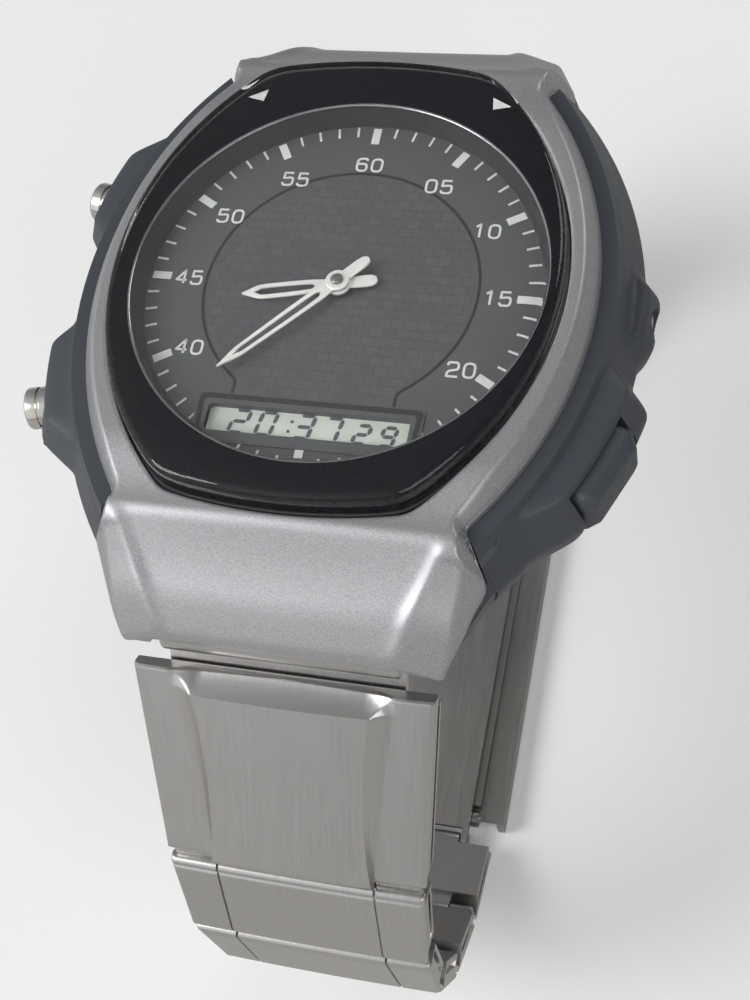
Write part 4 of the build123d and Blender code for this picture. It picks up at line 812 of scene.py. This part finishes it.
def endLinkSections():
    # plate height = strip + rise * t^scoop, with t the smaller of the shares across the side and the top bevel,
    # less a hollow in front of the crest, the crown and the rounded edges
    s = endLink
    middle = (s["crestY"] + s["tail"]) / 2
    waistFoot = (s["footHalf"] + s["endHalf"]) / 2 - 0.15
    bevel = np.linspace(0, 1, s["bevelSteps"])
    tx = np.concatenate([np.zeros(10), bevel, np.ones(21), bevel[::-1], np.zeros(10)])
    ys = [*(s["start"] + (s["crestY"] - s["start"]) * bevel),
          *(s["crestY"] + (s["tail"] - s["crestY"]) * np.arange(1, s["rows"] + 1) / s["rows"])]
    stations = []
    for y, ty in zip(ys, [*bevel, *np.ones(s["rows"])]):
        half = s["topHalf"] + (s["lowHalf"] - s["topHalf"]) * y / strand["firstLength"]
        yc = max(y, s["crestY"])
        crest = quadThrough(s["crestY"], s["crestHalf"], middle, s["waistHalf"], s["tail"], s["endHalf"], yc)
        foot = quadThrough(s["crestY"], s["footHalf"], middle, waistFoot, s["tail"], s["endHalf"] + 0.08, yc)
        edge = quarterIn(s["rim"], 8)
        right = foot + (half - foot) * np.array([0.2, 0.5])
        x = np.concatenate([-half + edge, -right[::-1], -foot + (foot - crest) * bevel,
                            np.linspace(-crest, crest, 23)[1:-1], crest + (foot - crest) * bevel, right,
                            half - edge[::-1]])
        t = np.minimum(tx, ty)
        z = s["strip"] + (s["plate"] - s["strip"]) * t ** s["scoop"] - s["hollow"] * tx * (1 - ty)
        z -= s["crown"] * (np.clip(np.abs(x) / crest, 0, 1) ** 2) * (tx == 1) * t
        z -= s["crown"] * (tx < 1) * t ** s["scoop"]
        z -= s["sideFall"] * np.clip((np.abs(x) - foot) / (half - foot), 0, 1) ** 2
        z -= rimFall(x, half, s["rim"]) + edgeDrop(s["tail"] - y, strand["tailRound"])
        z -= edgeDrop(y - s["start"], s["startRound"])
        slotDepth = smoothStep((y - s["slotFrom"]) / 0.3) * smoothStep((s["slotTo"] - y) / 0.3)
        low = strand["low"] if y < s["tail"] - s["tailThin"] else s["tailLow"]
        stations.append((y, sectionLoop(x, z, half, low if y > s["bodyFrom"] else s["startLow"], slotDepth, s["rim"])))
    return sweptSections(stations)


shortLink = {"nose": 0.45, "tail": 8.3, "outer": 1.3, "crown": 0.10, "roll": 0.42, "rollGroove": 0.12,
             "seamWidth": 0.10, "seamDepth": 0.16, "shell": 0.35, "bodyGap": 1.05, "bodyTo": 7.35, "slotDepth": 1.2,
             "slotFrom": 2.1, "slotTo": 6.3, "rim": 0.28, "knuckle": 0.75, "pin": 0.3, "barZ": (-0.7, 0.3)}


def linkHalf(k):
    # half width at the kth short pivot, falling evenly from the first to the last
    return strand["firstHalf"] + (strand["lastHalf"] - strand["firstHalf"]) * k / 5


def shortLinkSections(k):
    # top = outer - crown - seams - rolled nose and rounded tail, over a straight-sided folded body;
    # the stations stand closer together where the top rolls
    s, seam = shortLink, strand["seamX"]
    w = s["seamWidth"] / 2
    ys = np.concatenate([s["nose"] + quarterIn(s["roll"], 9), s["nose"] + np.array([0.55, 0.66, 0.76, 0.9]), [1.42],
                         np.linspace(1.7, 7.3, 12), [7.36], np.linspace(7.6, s["tail"] - 0.16, 4),
                         s["tail"] - np.array([0.1, 0.05, 0.02, 0])])
    inside = seam + np.array([-w - 0.04, -w, w, w + 0.04])
    stations = []
    for y in ys:
        half = linkHalf(k) + (linkHalf(k + 1) - linkHalf(k)) * y / strand["pitch"]
        edge = half - quarterIn(s["rim"], 7)[::-1]
        right = np.concatenate([np.linspace(0, seam - 0.3, 9)[1:], inside, edge])
        x = np.concatenate([-right[::-1], [0], right])
        gap = np.clip((w + 0.04 - np.abs(np.abs(x) - seam)) / 0.04, 0, 1)
        wide = 2.2 if y < s["nose"] + 0.7 else 1.0
        z = s["outer"] - s["crown"] * (x / half) ** 2 - gap * s["seamDepth"] * wide - rimFall(x, half, s["rim"])
        z -= edgeDrop(y - s["nose"], s["roll"]) + edgeDrop(s["tail"] - y, strand["tailRound"])
        z -= s["rollGroove"] * math.exp(-((y - s["nose"] - 0.76) / 0.11) ** 2)
        body = s["bodyGap"] + 0.3 < y < s["bodyTo"]
        low = strand["low"] if body else min(s["outer"] - s["shell"] - 0.25, z.min() - 0.12)
        slotDepth = s["slotDepth"] if body and s["slotFrom"] < y < s["slotTo"] else 0.0
        stations.append((y, sectionLoop(x, z, half, low, slotDepth, s["rim"])))
    return sweptSections(stations)


def knuckleGrids(half, length, whole=None):
    # the next link's pin runs through these: two side barrels, or one where a spring bar passes
    s = shortLink
    spans = [sorted((side * (strand["seamX"] + 0.05), side * (half - s["pin"]))) for side in (-1, 1)]
    grids = []
    for x0, x1 in [(-whole, whole)] if whole else spans:
        grids += [crossTube(s["knuckle"], x0, x1, length),
                  plainBar(x0, x1, length - 1.3, length - 0.2, *s["barZ"])]
    return grids


def makeStrands():
    # an end link and five short ones on each side; the last short link holds the clasp's spring bar
    seam = strand["seamX"]
    for side in ("6", "12"):
        for k, place in enumerate(strandPlaces()):
            if k == 0:
                half, node = endLink["barrelHalf"], "end_link_" + side
                grids = [endLinkSections(), crossTube(endLink["barrelRadius"], -half, half, soft=0.2, count=48),
                         plainBar(-half, half, 0.3, endLink["start"] + 1.2, *endLink["barZ"]),
                         *knuckleGrids(linkHalf(0), strand["firstLength"])]
            else:
                half, node = seam - 0.05, "link_%d_%s" % (k, side)
                whole = (4.7 if side == "6" else linkHalf(5) - 0.3) if k == 5 else None
                grids = [shortLinkSections(k - 1), crossTube(shortLink["knuckle"], -half, half),
                         plainBar(-half, half, 0.2, 1.5, *shortLink["barZ"]),
                         *knuckleGrids(linkHalf(k), strand["pitch"], whole)]
            grids = [setLink(g, place, side) for g in grids]
            body = "strand_%s_%d" % (side, k)
            closedPiece(node + "_steel", grids, satinSteel, body, [node], sharp=32)


# the pushers: a profile turned about the pusher's axis, as (y, lean, side, radius, stand, pocket radius, points)

pusher = {"head": 1.9, "side": 19.6, "z": 3.2, "stem": 0.5, "clip": 0.95, "clipZ": 12.6, "clipThick": 0.25,
          "places": {"pusher_upper_left": (8.5, 12.0, -1, 1.45, 2.1, 1.6, 64),
                     "pusher_lower_left": (-8.5, -12.0, -1, 1.45, 2.1, 1.6, 64),
                     "pusher_right": (1.4, 0.0, 1, 1.0, 0.5, 1.12, 48)}}


def alongAxis(grid, y, lean, z, side):
    # local z runs out along the axis (cos, sin) of the lean, which passes (side half width, y)
    a = math.radians(lean)
    y0 = y - pusher["side"] * math.tan(a)
    gx, gy, gz = grid[..., 0], grid[..., 1], grid[..., 2]
    return np.stack([(gz * math.cos(a) - gy * math.sin(a)) * side, y0 + gz * math.sin(a) + gy * math.cos(a),
                     z + gx], axis=-1)


def stemProfile(top):
    # a thin stem with its clip, from the inner end up to the head
    r, clip, low, thick = (pusher[k] for k in ("stem", "clip", "clipZ", "clipThick"))
    return [(0, low - thick), (r, low - thick), (r, low), (clip, low), (clip, low + thick), (r, low + thick), (r, top)]


def pusherProfile(radius, reach, head):
    # head with a fine groove, a rounded rim and a slightly domed end, on its stem
    r, e = radius, 0.22
    t = np.linspace(0, np.pi / 2, 6)
    rim = [(r - e + e * math.cos(a), reach - e + e * math.sin(a) - 0.05) for a in t]
    return [*stemProfile(reach - head), (r - 0.05, reach - head), (r, reach - head + 0.05),
            (r, reach - head * 0.62), (r - 0.12, reach - head * 0.58), (r - 0.12, reach - head * 0.5),
            (r, reach - head * 0.46), *rim, (r * 0.5, reach - 0.01), (0, reach)]


def makePushers():
    # three steel buttons, which stand out from the case's half width along their leaning axes
    s = pusher
    for name, (y, lean, side, radius, stand, _, points) in s["places"].items():
        profile = pusherProfile(radius, s["side"] + stand, s["head"])
        grid = alongAxis(turnedProfile(profile, points), y, lean, s["z"], side)
        closedPiece(name + "_turned", [grid], polished, name, [name], sharp=35)


lightButton = {"y": -10.6, "lean": -23.0, "z": 3.5, "stand": 1.5, "length": 5.9, "height": 4.3, "depth": 1.9,
               "corner": 0.7, "ridge": 0.75, "pocketLength": 3.12, "pocketHeight": 2.32, "pocketDepth": 2.9}


def roundedBox(width, height, corner, count=15):
    # rectangle outline with round corners
    w, h = width / 2 - corner, height / 2 - corner
    t = np.linspace(0, np.pi / 2, count)
    corners = [(w, h, 0), (-w, h, np.pi / 2), (-w, -h, np.pi), (w, -h, 1.5 * np.pi)]
    return np.vstack([np.column_stack([x + corner * np.cos(t + a), y + corner * np.sin(t + a)])
                      for x, y, a in corners])


def makeLightButton():
    # rings of the outline drawn in towards a flat ridge, as (inset across, inset along, height); the first and
    # last close on the middle, and the outer face is lower at its long edges
    s = lightButton
    reach = pusher["side"] + s["stand"]
    back = reach - s["depth"]
    base = roundedBox(s["height"], s["length"], s["corner"])
    size = np.array([s["height"], s["length"]]) / 2
    closing = size * 0.999
    rings = [(*closing, back), (0, 0, back), (0, 0, reach - s["ridge"]), (0.06, 0.05, reach - s["ridge"] + 0.12),
             (0.62, 0.45, reach - 0.16), (0.74, 0.58, reach - 0.03), (0.9, 0.75, reach), (*closing, reach)]
    block = np.array([atHeight(base * (1 - np.array([dx, dy]) / size), z) for dx, dy, z in rings])
    stem = turnedProfile([*stemProfile(back + 0.1), (0, back + 0.1)], len(base))
    grids = [alongAxis(g, s["y"], s["lean"], s["z"], 1) for g in (block, stem)]
    closedPiece("light_button_block", grids, resin, "light_button", ["light_button"], sharp=30)


makeStrands()
makePushers()
makeLightButton()
print("bracelet and pushers made")


# smooth resin flanks with their guards, laid over the case between the lugs

flank = {"endX": 12.9, "endY": 18.8, "reach": 18.5, "proud": 0.05, "stations": 420, "points": 150, "roundPocket": 1.9,
         "profile": [(4.8, 6.0), (3.4, 6.3), (2.75, 6.85), (2.3, 7.12), (1.9, 7.16), (1.55, 6.95), (1.3, 6.45),
                     (0.75, 5.2), (0.3, 4.25), (0.06, 3.75), (0.0, 3.4), (0.06, 3.0), (0.42, 1.7), (0.62, 1.15),
                     (0.95, 0.8), (1.5, 0.68), (3.0, 0.68), (4.8, 0.9)],
         "capY": (0, 15.3, 18.8, 24), "capZ": (7.2, 7.2, 4.6, 2.2), "outerInset": 3.2, "guardZ": 6.75, "bossZ": 5.7,
         "guardY": (3.7, 5.3, 11.5, 13.5), "guardX": (0, 1.5, 2.0, 0),
         "lightY": (3.7, 5.3, 13.8, 15.8), "lightX": (0, 1.5, 1.35, 0),
         "bossY": (-1.7, -0.4, 3.2, 4.5), "bossX": (0, 0.75, 0.95, 0)}


def easedCorners(y, ys, xs, spread=0.35):
    # straight-sided bump, averaged over a short stretch so that its corners are round
    shift = np.linspace(-1, 1, 9) * spread * 1.5
    weight = np.exp(-2 * np.linspace(-1, 1, 9) ** 2)
    return sum(w * np.interp(y + d, ys, xs, 0, 0) for d, w in zip(shift, weight)) / weight.sum()


def makeFlanks():
    # section (inset, z) carried along the side's arc; guards push it out, pockets press it in along their axes;
    # the lower end is closed and the upper one stays open
    s, edge = flank, pusher["side"]
    centre = (s["endX"] ** 2 + s["endY"] ** 2 - edge ** 2) / (2 * (s["endX"] - edge))
    radius = edge - centre
    loop = softened(along(np.array(s["profile"], float), s["points"]), 2)
    y = np.linspace(-s["reach"], s["reach"], s["stations"])[:, None]
    nx, ny = np.sqrt(1 - (y / radius) ** 2), y / radius
    inset = loop[None, :, 0] - s["proud"]
    for side, name in ((-1, "flank_left"), (1, "flank_right")):
        px = centre + radius * nx - nx * inset
        py = y - ny * inset
        pz = np.minimum(loop[None, :, 1], np.interp(np.abs(py), s["capY"], s["capZ"]))
        outer = smoothStep((s["outerInset"] - inset) / 1.2)
        tall = smoothStep((s["guardZ"] - pz) / 0.55) * outer
        if side < 0:
            px += easedCorners(np.abs(y), s["guardY"], s["guardX"]) * tall
        else:
            px += easedCorners(-y, s["lightY"], s["lightX"]) * tall
            px += easedCorners(y, s["bossY"], s["bossX"]) * smoothStep((s["bossZ"] - pz) / 0.8) * outer
        pockets = [(q[0], q[1], pusher["z"], q[5]) for q in pusher["places"].values() if q[2] == side]
        if side > 0:
            pockets.append((lightButton["y"], lightButton["lean"], lightButton["z"], None))
        for axisY, lean, axisZ, r in pockets:
            a = math.radians(lean)
            across = (py - axisY) * math.cos(a) - (px - edge) * math.sin(a)
            up = pz - axisZ
            if r:
                press = smoothStep((r + 0.05 - np.hypot(across, up)) / 0.1) * s["roundPocket"]
            else:
                share = np.maximum(np.abs(across) / lightButton["pocketLength"],
                                   np.abs(up) / lightButton["pocketHeight"])
                press = smoothStep((1.03 - share) / 0.05) * lightButton["pocketDepth"]
            press = press * (px > 12) * outer
            px, py = px - math.cos(a) * press, py - math.sin(a) * press
        body = np.stack([px * side, py, pz], axis=2)
        closedPiece(name, [np.concatenate([middleRing(body[0]), body])], resin, "case", sharp=50)


makeFlanks()
print("resin flanks made")


# camera at the photograph's angle; distances in millimetres, turns in degrees

shot = {"azimuth": 30.44, "elevation": 61.2, "roll": -21.38, "distance": 107.17, "right": 1.009, "up": -10.592,
        "focal": 1535.7, "frameHeight": 1000.0}


def makeCamera():
    # out from the watch's centre along azimuth and elevation, turned by the roll, then shifted in its own plane
    a, e, r = (math.radians(shot[k]) for k in ("azimuth", "elevation", "roll"))
    back = Vector((math.sin(a) * math.cos(e), -math.cos(a) * math.cos(e), math.sin(e)))
    side = Vector((math.cos(a), math.sin(a), 0))
    over = back.cross(side)
    right = side * math.cos(r) + over * math.sin(r)
    up = over * math.cos(r) - side * math.sin(r)
    place = (back * shot["distance"] + right * shot["right"] + up * shot["up"]) * mm
    data = bpy.data.cameras.new("camera")
    data.sensor_width = 36
    data.lens = shot["focal"] / shot["frameHeight"] * data.sensor_width
    data.clip_start = 0.005
    data.clip_end = 10
    camera = addObject("camera", data)
    turn = Matrix((right, up, back)).transposed().to_4x4()
    camera.matrix_world = Matrix.Translation(place) @ turn
    bpy.context.scene.camera = camera


# the room is brightest towards one side, as from a large window; each step is (share towards it, brightness),
# and each lamp is (place, size, power) in metres and watts
studio = {"floorColour": (0.96, 0.96, 0.955), "floorMirrored": (0.54, 0.53, 0.51), "floorHalf": 3,
          "windowSide": (-0.78, -0.55, 0.30),
          "steps": [(0.0, 0.22), (0.45, 0.24), (0.62, 0.34), (0.80, 0.62), (0.93, 0.95), (1.0, 1.0)],
          "lamps": {"keyLamp": ((-0.34, -0.18, 0.36), 0.30, 1.25), "fillLamp": ((0.35, -0.30, 0.30), 0.4, 0.7),
                    "rimLamp": ((0.30, 0.42, 0.30), 0.3, 0.45)}}


def areaLight(name, place, size, power):
    # a round lamp that faces the watch
    data = bpy.data.lights.new(name, "AREA")
    data.shape = "DISK"
    data.size = size
    data.energy = power
    lamp = addObject(name, data)
    lamp.location = place
    lamp.rotation_mode = "QUATERNION"
    lamp.rotation_quaternion = (-Vector(place)).to_track_quat("-Z", "Y")


def makeWorld():
    # brightness by the angle to the window side; the camera itself sees plain white
    world = bpy.data.worlds.new("studioWorld")
    world.use_nodes = True
    tree = world.node_tree
    coords, path, share = (addNode(tree, kind) for kind in ("TexCoord", "LightPath", "VectorMath"))
    share.operation = "DOT_PRODUCT"
    share.inputs[1].default_value = Vector(studio["windowSide"]).normalized()
    half = addNode(tree, "MapRange", From_Min=-1)
    ramp = addRamp(tree, [(place, (value, value, value * 1.01)) for place, value in studio["steps"]])
    ramp.color_ramp.interpolation = "EASE"
    seen = addMix(tree, B=(1, 1, 1))
    wire(tree, (coords, "Generated", share, 0), (share, "Value", half, "Value"), (half, "Result", ramp, "Fac"),
         (ramp, "Color", seen, "A"), (path, "Is Camera Ray", seen, "Factor"),
         (seen, "Result", tree.nodes["Background"], "Color"))
    bpy.context.scene.world = world


def makeFloor():
    # the camera sees pale paper, while the watch mirrors the darker cloth that it lies on in the photo
    r, low = studio["floorHalf"], cadLow.z - 0.0002
    mesh = bpy.data.meshes.new("floor")
    mesh.from_pydata([(-r, -r, low), (r, -r, low), (r, r, low), (-r, r, low)], [], [(0, 1, 2, 3)])
    paper, tree, shader = newMaterial("floorPaper", studio["floorColour"], 0.0, 0.9)
    path, seen = addNode(tree, "LightPath"), addMix(tree, A=studio["floorMirrored"], B=studio["floorColour"])
    wire(tree, (path, "Is Camera Ray", seen, "Factor"), (seen, "Result", shader, "Base Color"))
    mesh.materials.append(paper)
    addObject("floor", mesh)


makeCamera()
makeWorld()
for lampName, lampValues in studio["lamps"].items():
    areaLight(lampName, *lampValues)
makeFloor()
bpy.context.scene.view_settings.view_transform = "Standard"
print("camera and studio made")

# every CAD node that still shows gets the finish of its slot
finishes = {"case_resin": resin, "bezel_metal": silver, "crystal_glass": glassMaterial,
            "gasket_rubber": gasketRubber, "mask_print": maskInk, "dial_print": dialMaterial,
            "display_glass": displayFilm, "light_sheet": paleResin, "connector_rubber": gasketRubber,
            "steel": barSteel, "bracelet_steel": satinSteel, "module_plastic": paleResin, "board": boardGreen,
            "copper": copperWire, "brass": brassWheel, "hand_metal": handPaint, "button_resin": resin,
            "polished_steel": polished}
for part in frame["record"]["subparts"]:
    node = nodes[part["node"]]
    node.data.materials.clear()
    node.data.materials.append(finishes[part["material_slot"]])
nodes["flange_ring"].data.materials[0] = ringInk
print("CAD nodes finished")
